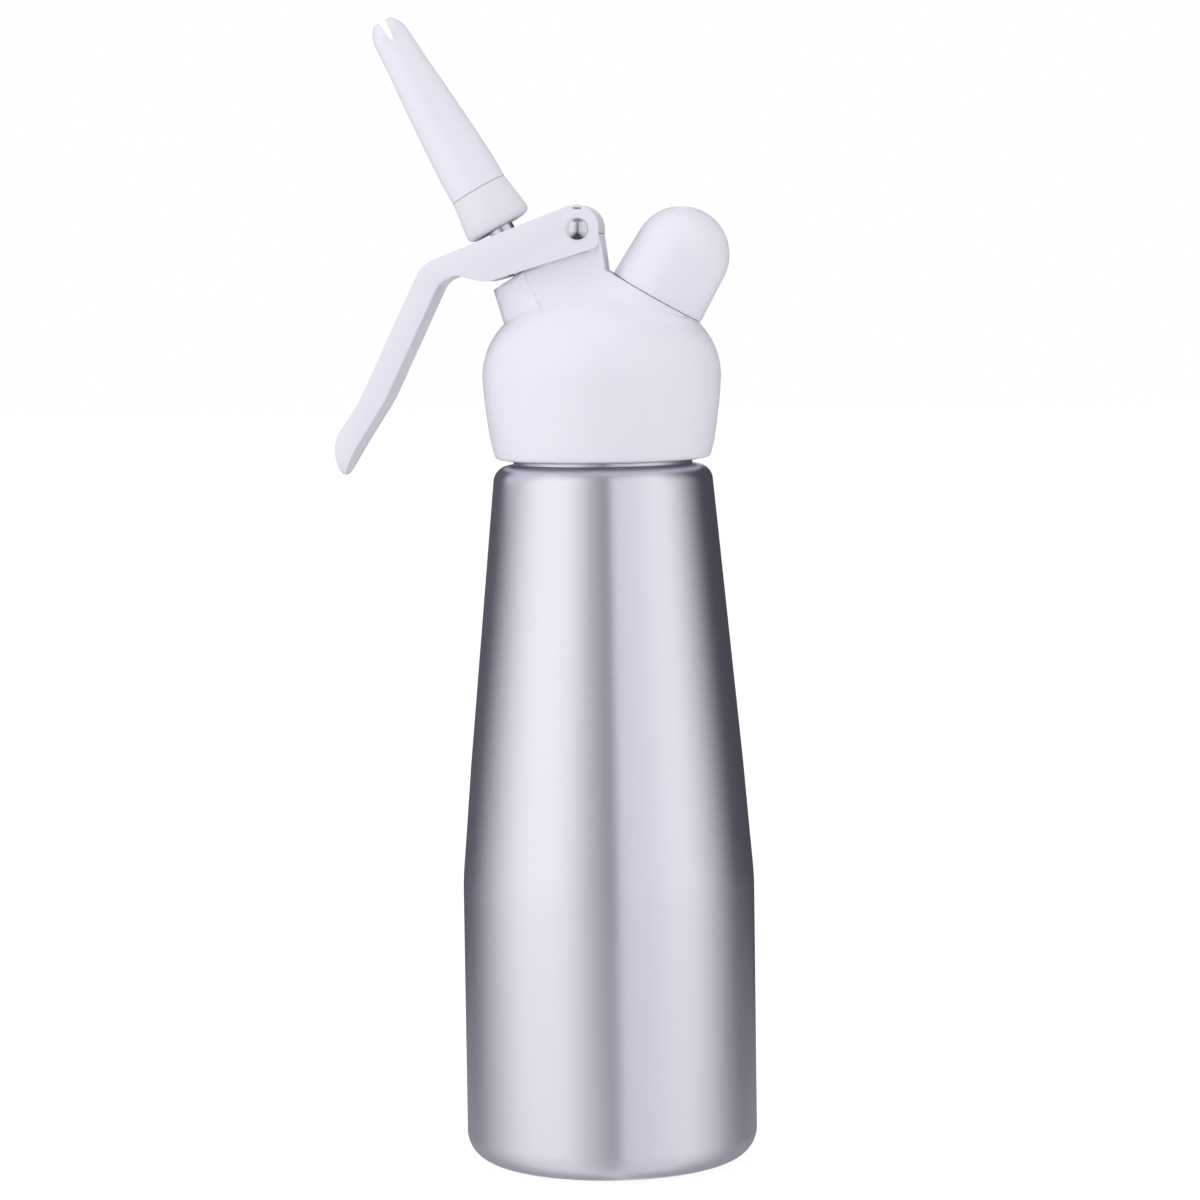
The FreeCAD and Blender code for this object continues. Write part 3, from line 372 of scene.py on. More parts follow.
# %% Thread helpers
def wind_up(outline, turns, rise, steps_per_turn):
    """Winds an outline up round the upright axis, and closes the two ends of what it sweeps."""
    merge = 0.002 * mm
    winding = outline.modifiers.new("winding", "SCREW")
    winding.axis = "Z"
    winding.angle = math.radians(360 * turns)
    winding.screw_offset = rise * mm
    winding.steps = int(steps_per_turn * turns)
    winding.render_steps = winding.steps
    winding.use_smooth_shade = True
    corners = len(outline.data.vertices)
    bpy.ops.object.modifier_apply(modifier="winding")
    bpy.ops.object.mode_set(mode="EDIT")
    bpy.ops.mesh.select_all(action="SELECT")
    bpy.ops.mesh.remove_doubles(threshold=merge)
    bpy.ops.mesh.select_all(action="SELECT")
    bpy.ops.mesh.fill_holes(sides=corners)
    bpy.ops.mesh.select_all(action="SELECT")
    bpy.ops.mesh.normals_make_consistent(inside=False)
    bpy.ops.object.mode_set(mode="OBJECT")


def wind_thread(name, root, crest, bottom, pitch, turns, seat):
    """A ridge from the root radius to the crest radius, wound up from the bottom height."""
    root_share = 0.62
    crest_share = 0.35
    near = 0.01 * mm
    depth = abs(crest - root)
    middle = ((root + crest) / 2 * mm, 0, bottom * mm)
    select_nothing()
    bpy.ops.mesh.primitive_plane_add(size=depth * mm, location=middle, rotation=(math.radians(90), 0, 0))
    ridge = bpy.context.object
    ridge.name = name
    bpy.ops.object.transform_apply(location=True, rotation=True, scale=True)
    bpy.ops.object.mode_set(mode="EDIT")
    bpy.ops.mesh.select_mode(type="VERT")
    bpy.ops.mesh.select_all(action="SELECT")
    bpy.ops.transform.resize(value=(1, 1, root_share * pitch / depth), center_override=middle)
    bpy.ops.mesh.delete(type="ONLY_FACE")
    bpy.ops.object.mode_set(mode="OBJECT")
    for vertex in ridge.data.vertices:
        vertex.select = abs(vertex.co.x - crest * mm) < near
    bpy.ops.object.mode_set(mode="EDIT")
    bpy.ops.transform.resize(value=(1, 1, crest_share), center_override=middle)
    bpy.ops.object.mode_set(mode="OBJECT")
    wind_up(ridge, turns, pitch * turns, steps_per_turn=64)
    lay_on(ridge, seat)
    bpy.ops.object.shade_smooth_by_angle(angle=math.radians(40))
    print(name, len(ridge.data.polygons), "faces")
    return ridge


def join_pieces(main, *others):
    """Joins the others to the main piece, which keeps its name."""
    select_only(main)
    for piece in others:
        piece.select_set(True)
    bpy.ops.object.join()


# %% [markdown]
# **The bottle** is deep drawn from one aluminium disc: a domed base that stands on a narrow ring, a
# straight foot, a long taper and a neck rolled in above the shoulder. The wall is about 1.5 mm
# thick in the body and 2.6 mm in the neck. A Solidify modifier would make it the same all over, so
# the inside is drawn as well, and it shows when the head is lifted off.

# %% Bottle
bottle_outside = [
    (POLE, 4.0), (9.0, 3.55), (18.0, 2.2), (24.0, 0.8), (26.8, 0.12), (27.3, 0.0), (29.0, 0.0), (29.6, 0.3),
    *arc(30.8, 7.5, 7.2, -80, 0, 14),
    (38.0, 25.0), (38.0, 50.0), (38.0, 72.3),
    (37.85, 75.7), (37.5, 79.9), (36.98, 85.9),
    (35.5, 103.8), (33.5, 124.9), (31.5, 145.9), (29.6, 166.0), (28.53, 177.2),
    *arc(24.1, 177.4, 4.4, 5, 90, 9),
    (23.6, 181.8), (23.2, 182.1), (23.2, 195.1), (22.95, 195.45), (22.6, 195.6),
]
bottle_inside = [
    (21.2, 195.6), (20.8, 195.45), (20.6, 195.1), (20.6, 180.6), (21.3, 179.9),
    (24.4, 179.6), (26.2, 178.6), (26.9, 177.0), (28.1, 166.0), (30.0, 145.9), (32.0, 124.9),
    (35.48, 85.9), (36.2, 77.5), (36.5, 72.3), (36.5, 50.0), (36.5, 9.5),
    *arc(30.8, 7.5, 5.7, -2, -90, 10),
    (27.0, 1.9), (24.0, 2.5), (18.0, 3.7), (9.0, 5.05), (POLE, 5.5),
]
bottle = turn_piece("bottle_turned", bottle_outside + bottle_inside, STAND, segments=192)
HEAD_PITCH = 3.8
neck_thread = wind_thread("neck_thread", root=23.05, crest=23.7, bottom=184.6,
                          pitch=HEAD_PITCH, turns=2.25, seat=STAND)
join_pieces(bottle, neck_thread)
hand_over(bottle, brushed_aluminium, "bottle_body", "brushed_aluminium", "bottle")

# %% [markdown]
# **The head's thread** is moulded inside the skirt. It is wound as a piece of its own that rides on
# the head, because cutting it into the moulding would need a Boolean with a long thin spiral. Its
# ridge stands half a turn away from the neck's, as it does when the head is screwed down.

# %% Thread in the head
head_thread = wind_thread("head_thread", root=24.45, crest=23.8, bottom=186.5,
                          pitch=HEAD_PITCH, turns=2.0, seat=STAND)
hand_over(head_thread, white_abs, "head_body", "white_plastic")

# %% [markdown]
# **The charger cap** is bullet shaped: nearly straight sides with a mould's draft, then half a ball.
# It is hollow and screws onto the stub with a thread of its own. A ball joined to a cone would need
# a seam smoothed away, and turning both in one outline leaves none.

# %% Charger cap
cap_rings = [
    (10.2, 29.5), (10.4, 29.24), (12.4, 29.24),
    *arc(12.38, 29.74, 0.5, -60, 0, 3),
    (12.72, 34.0), (12.58, 38.0),
    *arc(0, 41.9, 12.45, 0, 90, 24),
    *arc(0, 41.9, 10.2, 90, 0, 18),
    (10.2, 36.0), (10.2, 29.5),
]
charger_cap = turn_piece("charger_cap_turned", cap_rings, PORT_SEAT)
STUB_PITCH = 2.2
cap_thread = wind_thread("cap_thread", root=10.35, crest=9.98, bottom=32.2,
                         pitch=STUB_PITCH, turns=2.5, seat=PORT_SEAT)
join_pieces(charger_cap, cap_thread)
hand_over(charger_cap, white_abs, "cap_body", "white_plastic", "charger_cap")

# %% [markdown]
# **The threaded stub** takes the cap, or the holder of a gas charger. It is turned from stainless
# steel, with a chamber that holds the piercing pieces below a guide for the charger's neck. A plain
# tube would nearly do, but the small chamfers at its mouth are what catches the light.

# %% Charger port
stub_rings = [
    (5.0, 15.0), (9.0, 15.0), (9.0, 30.2), (9.3, 30.9), (9.3, 38.6), (8.9, 39.2), (8.7, 39.5),
    (5.3, 39.5), (4.8, 39.2), (4.6, 38.8), (4.6, 24.0), (5.0, 24.0), (5.0, 15.0),
]
stub = turn_piece("charger_stub_turned", stub_rings, PORT_SEAT)
stub_thread = wind_thread("stub_thread", root=9.2, crest=9.88, bottom=32.2,
                          pitch=STUB_PITCH, turns=2.5, seat=PORT_SEAT)
join_pieces(stub, stub_thread)
hand_over(stub, stainless_steel, "head_body", "stainless_steel", "charger_port")

# %% [markdown]
# **The adapter** is screwed on the stem and carries the nozzle. Its foot is well rounded, and its
# sides lean in so that they meet the nozzle's flush. A cone with a beveled foot would come close,
# but turning it gives the seat, the shoulder and the spigot inside the nozzle in one go.

# %% Nozzle adapter
adapter_rings = [
    (3.32, 52.8), (7.0, 52.8),
    *arc(7.1, 54.6, 1.78, -85, -8, 8),
    (8.55, 57.3), (8.05, 60.6), (7.61, 63.84), (7.56, 63.9), (5.0, 63.9), (5.0, 69.6), (4.6, 70.0),
    (2.8, 70.0), (2.8, 63.02), (3.32, 63.02), (3.32, 52.8),
]
adapter = turn_piece("nozzle_adapter_turned", adapter_rings, VALVE_SEAT, segments=96)
hand_over(adapter, white_polypropylene, "stem_body", "white_plastic", "nozzle_adapter")

# %% [markdown]
# **The nozzle** is a long tapered tip that narrows to a rounded end with four teeth, which give the
# cream its star. The body is turned, and the teeth are left when two crossed wedges are taken out
# of the end with Boolean modifiers. Modelling a quarter with its slot and turning copies of it
# would also do, but the wedges work like the blades in the mould. A small bevel breaks their edges.

# %% Decorator nozzle
nozzle_rings = [
    (6.65, 64.01), (7.54, 64.01), (7.6, 64.08), (7.6, 68.0), (7.55, 70.5), (7.33, 75.0),
    (7.0, 80.0), (6.62, 85.0), (6.25, 90.0), (5.82, 95.0), (5.3, 101.0), (5.08, 104.5),
    (4.87, 108.2), *arc(-2.36, 108.6, 7.2, 3, 44, 8), (2.55, 113.7), (2.4, 113.55),
    (2.4, 108.6), (2.8, 105.0), (3.3, 101.0), (4.2, 86.0), (5.06, 72.0), (5.06, 65.0),
    (6.65, 65.0), (6.65, 64.01),
]
nozzle = turn_piece("decorator_nozzle_turned", nozzle_rings, STAND, segments=96)

# %% Slots between the nozzle's teeth
SLOT_WIDTH = 1.0 * mm
SLOT_FLARE = 2.1
SLOT_DEPTH = 6.0 * mm
SLOT_TOP = 114.2 * mm
SLOT_LENGTH = 16 * mm
SLOT_TURN = 4.4


def slot_wedge(turn):
    """A wedge as wide as the slot at its foot, and wider by the flare at its top."""
    select_nothing()
    middle = SLOT_TOP - SLOT_DEPTH / 2
    bpy.ops.mesh.primitive_cube_add(size=1, location=(0, 0, middle),
                                    scale=(SLOT_WIDTH, SLOT_LENGTH, SLOT_DEPTH))
    wedge = bpy.context.object
    bpy.ops.object.transform_apply(location=True, rotation=True, scale=True)
    corners = wedge.data.vertices
    for corner in corners:
        corner.select = corner.co.z > middle
    for side in [*wedge.data.edges, *wedge.data.polygons]:
        side.select = all(corners[index].select for index in side.vertices)
    bpy.ops.object.mode_set(mode="EDIT")
    bpy.ops.transform.resize(value=(SLOT_FLARE, 1, 1), center_override=(0, 0, SLOT_TOP))
    bpy.ops.object.mode_set(mode="OBJECT")
    lay_on(wedge, Matrix.Rotation(math.radians(turn), 4, "Z"))
    return wedge


for turn in (SLOT_TURN, SLOT_TURN + 90):
    wedge = slot_wedge(turn)
    cut = nozzle.modifiers.new("tooth_slot", "BOOLEAN")
    cut.operation = "DIFFERENCE"
    cut.solver = "EXACT"
    cut.object = wedge
    bpy.context.view_layer.objects.active = nozzle
    bpy.ops.object.modifier_apply(modifier="tooth_slot")
    bpy.data.objects.remove(wedge)
print("nozzle cut to four teeth,", len(nozzle.data.polygons), "faces")


# %% Soft edges on the nozzle
def soften_edges(piece, width, segments, sharp):
    """Bevels every edge that turns by more than `sharp` degrees."""
    select_only(piece)
    soft_edge = piece.modifiers.new("soft_edge", "BEVEL")
    soft_edge.width = width
    soft_edge.segments = segments
    soft_edge.limit_method = "ANGLE"
    soft_edge.angle_limit = math.radians(sharp)
    bpy.ops.object.modifier_apply(modifier="soft_edge")


soften_edges(nozzle, 0.12 * mm, segments=2, sharp=50)
lay_on(nozzle, VALVE_SEAT)
bpy.ops.object.shade_smooth_by_angle(angle=math.radians(30))
print("nozzle", len(nozzle.data.polygons), "faces")
hand_over(nozzle, white_abs, "nozzle_body", "white_plastic", "decorator_nozzle")

# %% [markdown]
# **The hinge pin** is a plated pin with a domed head on the near side. A domed cap is pushed on its
# far end. Both domes are part of a ball 7.5 mm across, so an arc draws them better than a squashed
# ball would, and their rims are rounded where they meet the lever. The pin lies across the bottle,
# so its seat is turned by a quarter.

# %% Hinge pin and its cap
PIN_SEAT = Matrix.Translation(PIN) @ Matrix.Rotation(math.radians(90), 4, "X")
DOME_RADIUS = 3.752
pin_rings = [
    (POLE, -12.2), (1.45, -12.2), (1.75, -11.9), (1.75, 11.22), (2.55, 11.22), (2.72, 11.28), (2.75, 11.36),
    *arc(0, 8.66, DOME_RADIUS, 46, 90, 12),
]
hinge_pin = turn_piece("lever_pin_turned", pin_rings, PIN_SEAT, segments=64, sharp=50)
hand_over(hinge_pin, pin_chrome_painted_dark, "lever_body", "chrome", "lever_pin")
pin_cap_rings = [
    (1.77, -11.22), (1.77, -12.22), (POLE, -12.22), (POLE, -13.0),
    *arc(0, -9.25, DOME_RADIUS, -89, -46, 12),
    (2.75, -11.95), (2.75, -11.3), (2.68, -11.22), (1.77, -11.22),
]
pin_cap = turn_piece("pin_cap_turned", pin_cap_rings, PIN_SEAT, segments=64, sharp=50)
hand_over(pin_cap, pin_chrome_painted_dark, "lever_body", "chrome", "pin_cap")

# %% [markdown]
# ** The return spring** is wound from 1 mm stainless wire: five open turns between two closed ones
# that lie flat against the guide and the collar. A curve with a round bevel could draw it, but the
# Screw modifier that winds the threads winds a circle just as well, and the closed turns are rings
# of the same wire.

# %% Return spring
COIL_RADIUS = 4.35 * mm
WIRE_RADIUS = 0.5 * mm
WIRE_CORNERS = 12
CLOSED_TURNS = (34.04, 44.46)
select_nothing()
bpy.ops.mesh.primitive_circle_add(vertices=WIRE_CORNERS, radius=WIRE_RADIUS,
                                  location=(COIL_RADIUS, 0, 34.1 * mm), rotation=(math.radians(90), 0, 0))
spring = bpy.context.object
spring.name = "return_spring_wound"
bpy.ops.object.transform_apply(location=True, rotation=True, scale=True)
wind_up(spring, turns=5, rise=10.3, steps_per_turn=40)
end_rings = []
for height in CLOSED_TURNS:
    select_nothing()
    bpy.ops.mesh.primitive_torus_add(major_segments=64, minor_segments=WIRE_CORNERS,
                                     major_radius=COIL_RADIUS, minor_radius=WIRE_RADIUS,
                                     location=(0, 0, height * mm))
    end_rings.append(bpy.context.object)
join_pieces(spring, *end_rings)
lay_on(spring, VALVE_SEAT)
bpy.ops.object.shade_smooth_by_angle(angle=math.radians(60))
print("spring", len(spring.data.polygons), "faces")
hand_over(spring, spring_steel, "head_body", "spring_steel", "return_spring")
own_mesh(spring)

# %% [markdown]
# **The lever** keeps the drawing's outline, and gets the soft edges and the rounded handle that a
# moulding has. It could be drawn again from a side view, but its CAD solid is already right, so a
# copy of it is taken. Its loose triangles are merged to one skin, and its flat faces made whole.

# %% Copy of a CAD solid
def whole_copy(node_name, name, merge, flatten=0):
    """A copy of a CAD solid as one skin, with faces that lie within `flatten` degrees made one."""
    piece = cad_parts[node_name].copy()
    piece.data = piece.data.copy()
    piece.name = name
    bpy.context.scene.collection.objects.link(piece)
    piece.parent = None
    select_only(piece)
    bpy.ops.object.mode_set(mode="EDIT")
    bpy.ops.mesh.select_all(action="SELECT")
    bpy.ops.mesh.remove_doubles(threshold=merge)
    if flatten:
        bpy.ops.mesh.dissolve_limited(angle_limit=math.radians(flatten))
    bpy.ops.object.mode_set(mode="OBJECT")
    print(name, "copied,", len(piece.data.polygons), "faces")
    return piece


lever = whole_copy("lever", "lever_soft", merge=0.003 * mm, flatten=0.4)

# %% [markdown]
# Seen from the front of the handle, its end is rounded like a tongue depressor's, so that no corner
# digs into the hand. The handle thins towards its tip, so a bevel of two corners would come out
# crooked. Instead the end is sliced across, and each slice is narrowed until its corner lies on an
# arc. The tip grows down a little as its corners go.

# %% Rounded end of the handle
def round_end(piece, tip, along, half_width, radius, growth, slices=10):
    """Rounds the corners of the end that points along a direction, and grows the tip downwards."""
    bpy.ops.object.mode_set(mode="EDIT")
    for step in range(1, slices + 1):
        reach = radius * (1 - math.cos(math.radians(90 * step / slices)))
        bpy.ops.mesh.select_all(action="SELECT")
        bpy.ops.mesh.bisect(plane_co=tip - along * reach, plane_no=along)
    bpy.ops.object.mode_set(mode="OBJECT")
    for vertex in piece.data.vertices:
        short = (tip - vertex.co).dot(along)
        if short < radius:
            limit = half_width - radius + math.sqrt(max(radius ** 2 - (radius - short) ** 2, 0))
            vertex.co.y *= limit / half_width
            vertex.co.z -= growth * (1 - max(short, 0) / radius) ** 2
    print(piece.name, "end rounded to", round(radius / mm, 1), "mm")


HANDLE_TIP = Vector((-66.7, 0, 181.2)) * mm
HANDLE_WAY = Vector((-0.54, 0, -0.84)).normalized()
HANDLE_HALF_WIDTH = 11.2 * mm
round_end(lever, HANDLE_TIP, HANDLE_WAY, HANDLE_HALF_WIDTH, radius=8.5 * mm, growth=1.4 * mm)

# %% [markdown]
# A moulding's edges are never sharp: the outside of the lever has a radius of about half a
# millimetre. The Bevel modifier runs along every edge that turns by more than 35 degrees. It comes
# after the rounding, so that the handle's new corners are softened too.

# %% Soft edges on the lever
soften_edges(lever, 0.45 * mm, segments=3, sharp=35)
bpy.ops.object.shade_smooth_by_angle(angle=math.radians(30))
print("lever", len(lever.data.polygons), "faces")
hand_over(lever, white_abs, "lever_body", "white_plastic", "lever")

# %% [markdown]
# **The head's skirt** ends in a crisp lower corner, tighter than the CAD body's, because that is where
# the two halves of the mould part. Turning the skirt again would lose the way the bosses flow into
# it. So every vertex of the CAD corner is moved along its own direction from the large rounding to
# the small one, and the wall above it is drawn in to meet it. The copy is merged more coarsely than
# the lever, which closes the slivers where the valve boss meets the hinge lug.

# %% Head with a crisp skirt
def crisp_skirt(piece, bottom, radius, old_round, new_bottom, new_radius, new_round, fade):
    """Moves the outer corner at the skirt's lower end, and eases the wall in over `fade` above it."""
    slack = 0.05 * mm
    for vertex in piece.data.vertices:
        across = math.hypot(vertex.co.x, vertex.co.y)
        height = vertex.co.z
        if height > bottom + fade or across < radius - old_round - slack:
            continue
        if height < bottom + old_round:
            turn = math.atan2(bottom + old_round - height, max(across - (radius - old_round), 0))
            out = math.hypot(across - (radius - old_round), bottom + old_round - height) / old_round
            wanted = new_radius - new_round + new_round * out * math.cos(turn)
            height = new_bottom + new_round - new_round * out * math.sin(turn)
        else:
            share = (height - bottom - old_round) / (fade - old_round)
            wanted = across - (radius - new_radius) * (1 - share)
            height = height + (new_bottom + new_round - bottom - old_round) * (1 - share)
        vertex.co.x *= wanted / across
        vertex.co.y *= wanted / across
        vertex.co.z = height
    print(piece.name, "skirt drawn to", new_radius / mm, "mm")


head = whole_copy("head_housing", "head_housing_crisp", merge=0.08 * mm)
crisp_skirt(head, bottom=182.9 * mm, radius=28.2 * mm, old_round=2.6 * mm,
            new_bottom=183.35 * mm, new_radius=27.95 * mm, new_round=1.5 * mm, fade=14 * mm)
bpy.ops.object.shade_smooth_by_angle(angle=math.radians(70))
hand_over(head, white_abs, "head_body", "white_plastic", "head_housing")

# %% [markdown]
# **The other pieces** keep their solids: the small turned and moulded ones in the head and on the
# stem, whose drawing is already as fine as the real thing. Their CAD meshes aren't touched, and one
# list gives each the finish of what it is made of.

# %% Finishes on the CAD pieces that stay
FINISHES = {
    "head_gasket": silicone,
    "guide_bush": brass,
    "stem_o_ring": black_rubber,
    "port_gasket": black_rubber,
    "charger_gasket": silicone,
    "pin_holder": brass,
    "piercing_pin": stainless_steel,
    "check_valve": black_rubber,
    "valve_stem": chrome,
    "push_collar": stainless_steel,
    "valve_seal": black_rubber,
    "seal_washer": stainless_steel,
    "seal_nut": stainless_steel,
    "nozzle_gasket": silicone,
}
for node_name, material in FINISHES.items():
    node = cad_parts[node_name]
    node.data.materials.clear()
    node.data.materials.append(material)
    node.data.shade_smooth()
print("finishes on", len(FINISHES), "CAD pieces")

# %% [markdown]
# ## The studio
# Metal has no look of its own: it shows the room. A metal bottle is therefore shown off in a white
# tent, with dark boards stood round it where its outline needs a dark edge. The white tent is the
# world, whose strength of 1 is plain white to the camera and in reflections. It lights matt
# surfaces a little less, which leaves room for the lamps.

# %% World
TENT_LIGHT = 0.75
tent = empty_nodes(bpy.data.worlds.new("white_tent"))
bpy.context.scene.world = tent
ray = add_node(tent, "ShaderNodeLightPath")
seen = add_node(tent, "ShaderNodeMath", {"operation": "MAXIMUM"},
                links={0: ray.outputs["Is Camera Ray"], 1: ray.outputs["Is Glossy Ray"]})
seen_or_through = add_node(tent, "ShaderNodeMath", {"operation": "MAXIMUM"},
                           links={0: seen.outputs["Value"], 1: ray.outputs["Is Transmission Ray"]})
strength = add_node(tent, "ShaderNodeMapRange", values={"To Min": TENT_LIGHT, "To Max": 1.0},
                    links={"Value": seen_or_through.outputs["Value"]})
white = add_node(tent, "ShaderNodeBackground", values={"Color": (1, 1, 1, 1)},
                 links={"Strength": strength.outputs["Result"]})
add_node(tent, "ShaderNodeOutputWorld", links={"Surface": white.outputs["Background"]})
print("world", tent.name, "lights matt surfaces at", TENT_LIGHT)

# %% [markdown]
# The floor is a grey that glows. Its glow alone is nearly white to the camera, so the floor runs
# into the tent without an edge, and the grey under it still takes the soft shadow of the bottle.
# A brighter lamp would make it white too, but would bleach the bottle.

# %% Floor
FLOOR_GLOW = 0.66
FLOOR_GLOW_SEEN = 0.86
floor_paint = empty_nodes(bpy.data.materials.new("white_floor"))
matt_grey = add_node(floor_paint, "ShaderNodeBsdfDiffuse", values={"Color": linear("8A8A8A")})
floor_ray = add_node(floor_paint, "ShaderNodeLightPath")
glow_level = add_node(floor_paint, "ShaderNodeMapRange",
                      values={"To Min": FLOOR_GLOW, "To Max": FLOOR_GLOW_SEEN},
                      links={"Value": floor_ray.outputs["Is Camera Ray"]})
glow = add_node(floor_paint, "ShaderNodeEmission", links={"Strength": glow_level.outputs["Result"]})
glowing_grey = add_node(floor_paint, "ShaderNodeAddShader",
                        links={0: matt_grey.outputs["BSDF"], 1: glow.outputs["Emission"]})
add_node(floor_paint, "ShaderNodeOutputMaterial", links={"Surface": glowing_grey.outputs["Shader"]})

select_nothing()
bpy.ops.mesh.primitive_plane_add(size=12, location=(0, 0, 0))
floor = bpy.context.object
floor.name = "floor"
floor.data.materials.append(floor_paint)
floor.visible_glossy = False
print("floor", floor.dimensions[0], "m wide")

# %% [markdown]
# Each board is a strip of a large upright cylinder round the bottle, and only reflections see it.
# `start` and `end` are the directions it covers, in degrees round the bottle from the camera's side,
# positive to the right. It fades over a share of its width at either edge, as a board does when it
# stands close to the bottle and far from focus. The boards are no part of the dispenser, so their
# strips are written point by point, which lays out the fade's UV map in the same go.

# %% Strip of a cylinder
def upright_strip(name, start, end, reach, top, bottom=-9.0, steps=24):
    """A curved strip round the upright axis, whose UV map runs from 0 at its start to 1 at its end."""
    corners = []
    for step in range(steps + 1):
        turn = math.radians(start + (end - start) * step / steps)
        corners += [(reach * math.sin(turn), -reach * math.cos(turn), height) for height in (bottom, top)]
    faces = [(2 * step, 2 * step + 2, 2 * step + 3, 2 * step + 1) for step in range(steps)]
    mesh = bpy.data.meshes.new(name)
    mesh.from_pydata(corners, [], faces)
    layer = mesh.uv_layers.new(name="UVMap")
    for loop in mesh.loops:
        layer.data[loop.index].uv = (loop.vertex_index // 2 / steps, loop.vertex_index % 2)
    strip = bpy.data.objects.new(name, mesh)
    bpy.context.scene.collection.objects.link(strip)
    return strip


def hide_but_for_gloss(panel):
    """Leaves a studio panel to reflections alone."""
    panel.visible_camera = False
    panel.visible_diffuse = False
    panel.visible_transmission = False
    panel.visible_shadow = False


# %% Dark boards for the metal
def felt(name, shade, fade_start, fade_end, thickness):
    """Plain felt that fades to nothing over a share of the strip at its start and at its end."""
    material = empty_nodes(bpy.data.materials.new(name))
    uv_map = add_node(material, "ShaderNodeUVMap", {"uv_map": "UVMap"})
    split = add_node(material, "ShaderNodeSeparateXYZ", links={"Vector": uv_map.outputs["UV"]})
    rise = add_node(material, "ShaderNodeMapRange", {"interpolation_type": "SMOOTHSTEP"},
                    {"From Min": 0.0, "From Max": fade_start, "To Max": thickness},
                    {"Value": split.outputs["X"]})
    fall = add_node(material, "ShaderNodeMapRange", {"interpolation_type": "SMOOTHSTEP"},
                    {"From Min": 1.0, "From Max": 1.0 - fade_end}, {"Value": split.outputs["X"]})
    cover = add_node(material, "ShaderNodeMath", {"operation": "MULTIPLY"},
                     links={0: rise.outputs["Result"], 1: fall.outputs["Result"]})
    colour = add_node(material, "ShaderNodeEmission", values={"Color": linear(shade), "Strength": 1.0})
    clear = add_node(material, "ShaderNodeBsdfTransparent")
    both = add_node(material, "ShaderNodeMixShader",
                    links={0: cover.outputs["Value"], 1: clear.outputs["BSDF"],
                           2: colour.outputs["Emission"]})
    add_node(material, "ShaderNodeOutputMaterial", links={"Surface": both.outputs["Shader"]})
    return material


def dark_board(name, start, end, shade, fade_start, fade_end, reach=0.9, top=1.6, thickness=1.0):
    """Stands a felt strip round the bottle, `reach` metres away and up to `top` metres high."""
    board = upright_strip(name, start, end, reach, top)
    board.data.materials.append(felt(name + "_felt", shade, fade_start, fade_end, thickness))
    hide_but_for_gloss(board)
    print(name, "covers", end - start, "degrees")


dark_board("centre_board", -40, 15, "74747E", fade_start=1.0, fade_end=0.1)
dark_board("right_board", 58, 178, "46464F", fade_start=0.59, fade_end=0.02)
dark_board("left_board", -178, -58, "565660", fade_start=0.02, fade_end=0.64)

# %% [markdown]
# Two paler layers are hung the same way. A veil just behind the boards dulls the white between the
# centre board and the right one. A half-clear skirt just inside them, all the way round, greys what
# the bottle's rounded foot sees below the floor's level.

# %% Veil and skirt of the tent
dark_board("grey_veil", 14, 88, "E0E0E8", fade_start=0.02, fade_end=0.95, reach=0.93)
dark_board("tent_skirt", -180, 180, "BABAC2", fade_start=0.001, fade_end=0.001,
           reach=0.85, top=-0.12, thickness=0.55)

# %% [markdown]
# A grey ceiling above the tent gives the chrome dome of the hinge pin its darker upper edge. The
# bottle hardly sees it, because its wall stands upright.

# %% Grey ceiling
ceiling_felt = empty_nodes(bpy.data.materials.new("ceiling_felt"))
ceiling_colour = add_node(ceiling_felt, "ShaderNodeEmission",
                          values={"Color": linear("9A9AA2"), "Strength": 1.0})
add_node(ceiling_felt, "ShaderNodeOutputMaterial", links={"Surface": ceiling_colour.outputs["Emission"]})
select_nothing()
bpy.ops.mesh.primitive_circle_add(vertices=64, radius=0.75, fill_type="NGON", location=(0, 0, 1.3))
ceiling = bpy.context.object
ceiling.name = "dark_ceiling"
ceiling.data.materials.append(ceiling_felt)
hide_but_for_gloss(ceiling)
print("ceiling", ceiling.location[2], "m up")

# %% [markdown]
# The light comes from three large soft lamps, two at the sides and one above, and from the tent's
# even glow, at a level where a white piece comes out about as white as its colour says. Reflections
# don't see the lamps, so the bands on the metal come from the boards alone.

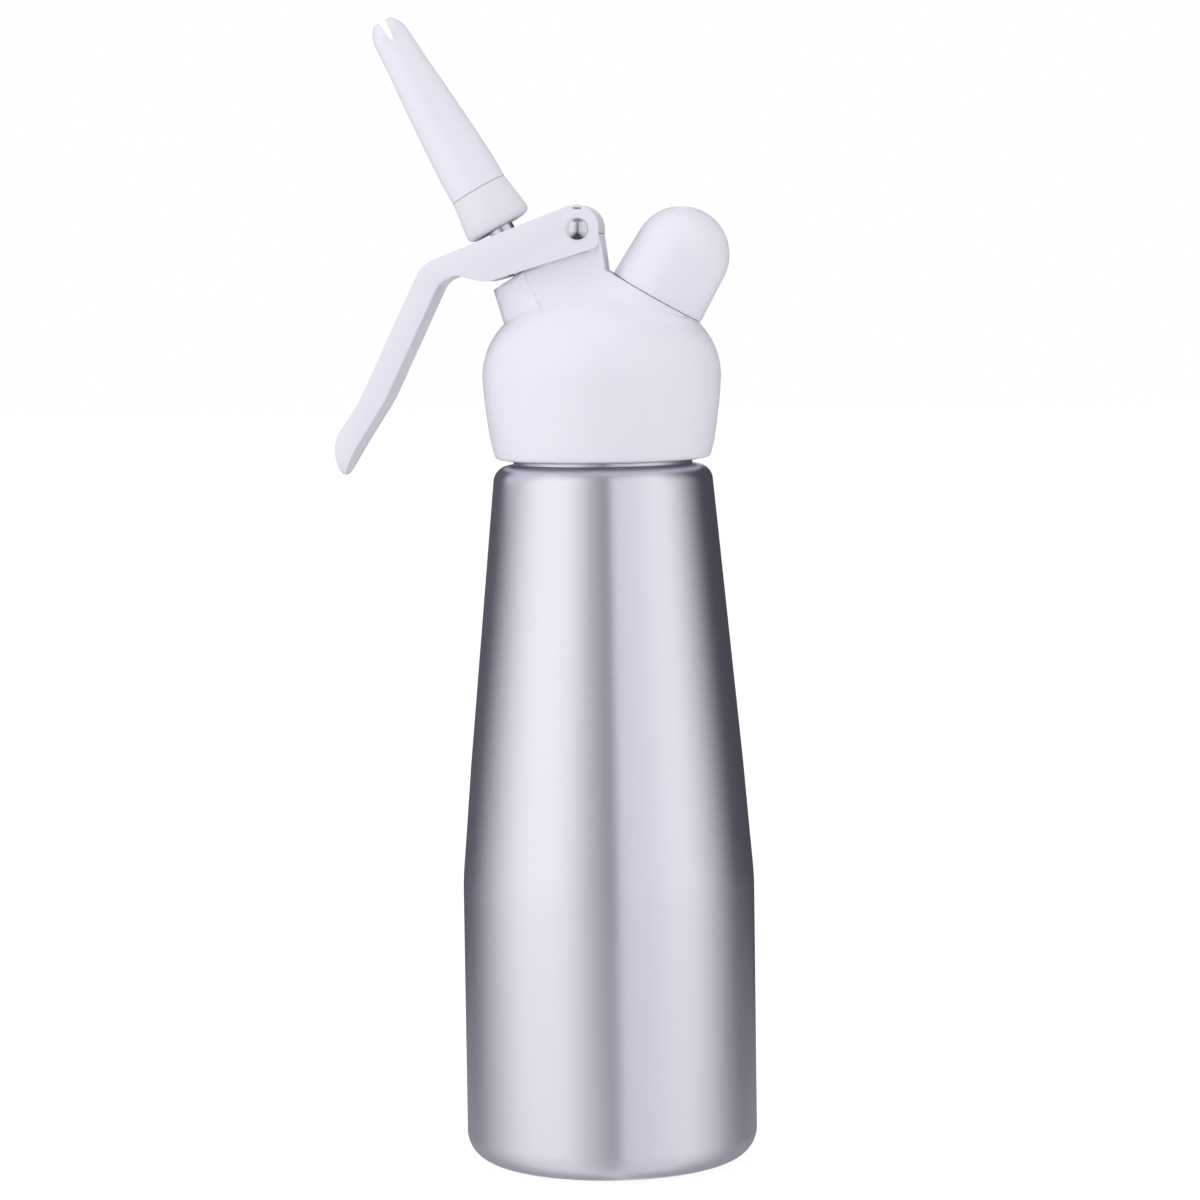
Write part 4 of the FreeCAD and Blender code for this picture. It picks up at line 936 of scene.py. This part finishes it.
# %% Lamps
LAMP_SIZE = 0.9
LIT_POINT = Vector((0, 0, 0.15))


def soft_lamp(name, place, power):
    """A round lamp that looks at the middle of the dispenser."""
    light = bpy.data.lights.new(name, "AREA")
    light.shape = "DISK"
    light.size = LAMP_SIZE
    light.energy = power
    lamp = bpy.data.objects.new(name, light)
    lamp.location = place
    lamp.rotation_euler = (LIT_POINT - Vector(place)).to_track_quat("-Z", "Y").to_euler()
    lamp.visible_glossy = False
    bpy.context.scene.collection.objects.link(lamp)
    print(name, power, "W")


soft_lamp("left_lamp", (-1.4, -0.6, 0.6), power=5.6)
soft_lamp("right_lamp", (1.2, -1.0, 0.6), power=2.2)
soft_lamp("top_lamp", (0, -0.1, 1.55), power=3.2)

# %% [markdown]
# The camera stands about a metre in front, a hand's breadth above the middle, and looks slightly
# down. Its lens is long, so the bottle's sides stay nearly upright. A Track To constraint would aim
# it at a point, but couldn't roll it, so its three directions are worked out from four angles.

# %% Camera
def aim_camera(distance, height, swing, pitch, turn, roll):
    """Angles in radians: the swing round the bottle, and the camera's own tilt, turn and roll."""
    place = Vector((distance * math.sin(swing), -distance * math.cos(swing), height))
    level = Vector((-math.sin(swing + turn), math.cos(swing + turn), 0))
    forward = level * math.cos(pitch) - Vector((0, 0, math.sin(pitch)))
    right = Vector((math.cos(swing + turn), math.sin(swing + turn), 0))
    up = right.cross(forward)
    tilted_right = right * math.cos(roll) + up * math.sin(roll)
    tilted_up = up * math.cos(roll) - right * math.sin(roll)
    lens = bpy.data.cameras.new("camera")
    lens.sensor_width = 36.0
    lens.lens = 118.24
    lens.clip_end = 30.0
    camera = bpy.data.objects.new("camera", lens)
    camera.matrix_world = Matrix((tilted_right, tilted_up, -forward)).transposed().to_4x4()
    camera.location = place
    bpy.context.scene.collection.objects.link(camera)
    bpy.context.scene.camera = camera
    print("camera at", place)


aim_camera(distance=1.022, height=0.2297, swing=0.0771, pitch=0.0813, turn=0.00125, roll=-0.0143)
bpy.context.scene.view_settings.view_transform = "Standard"
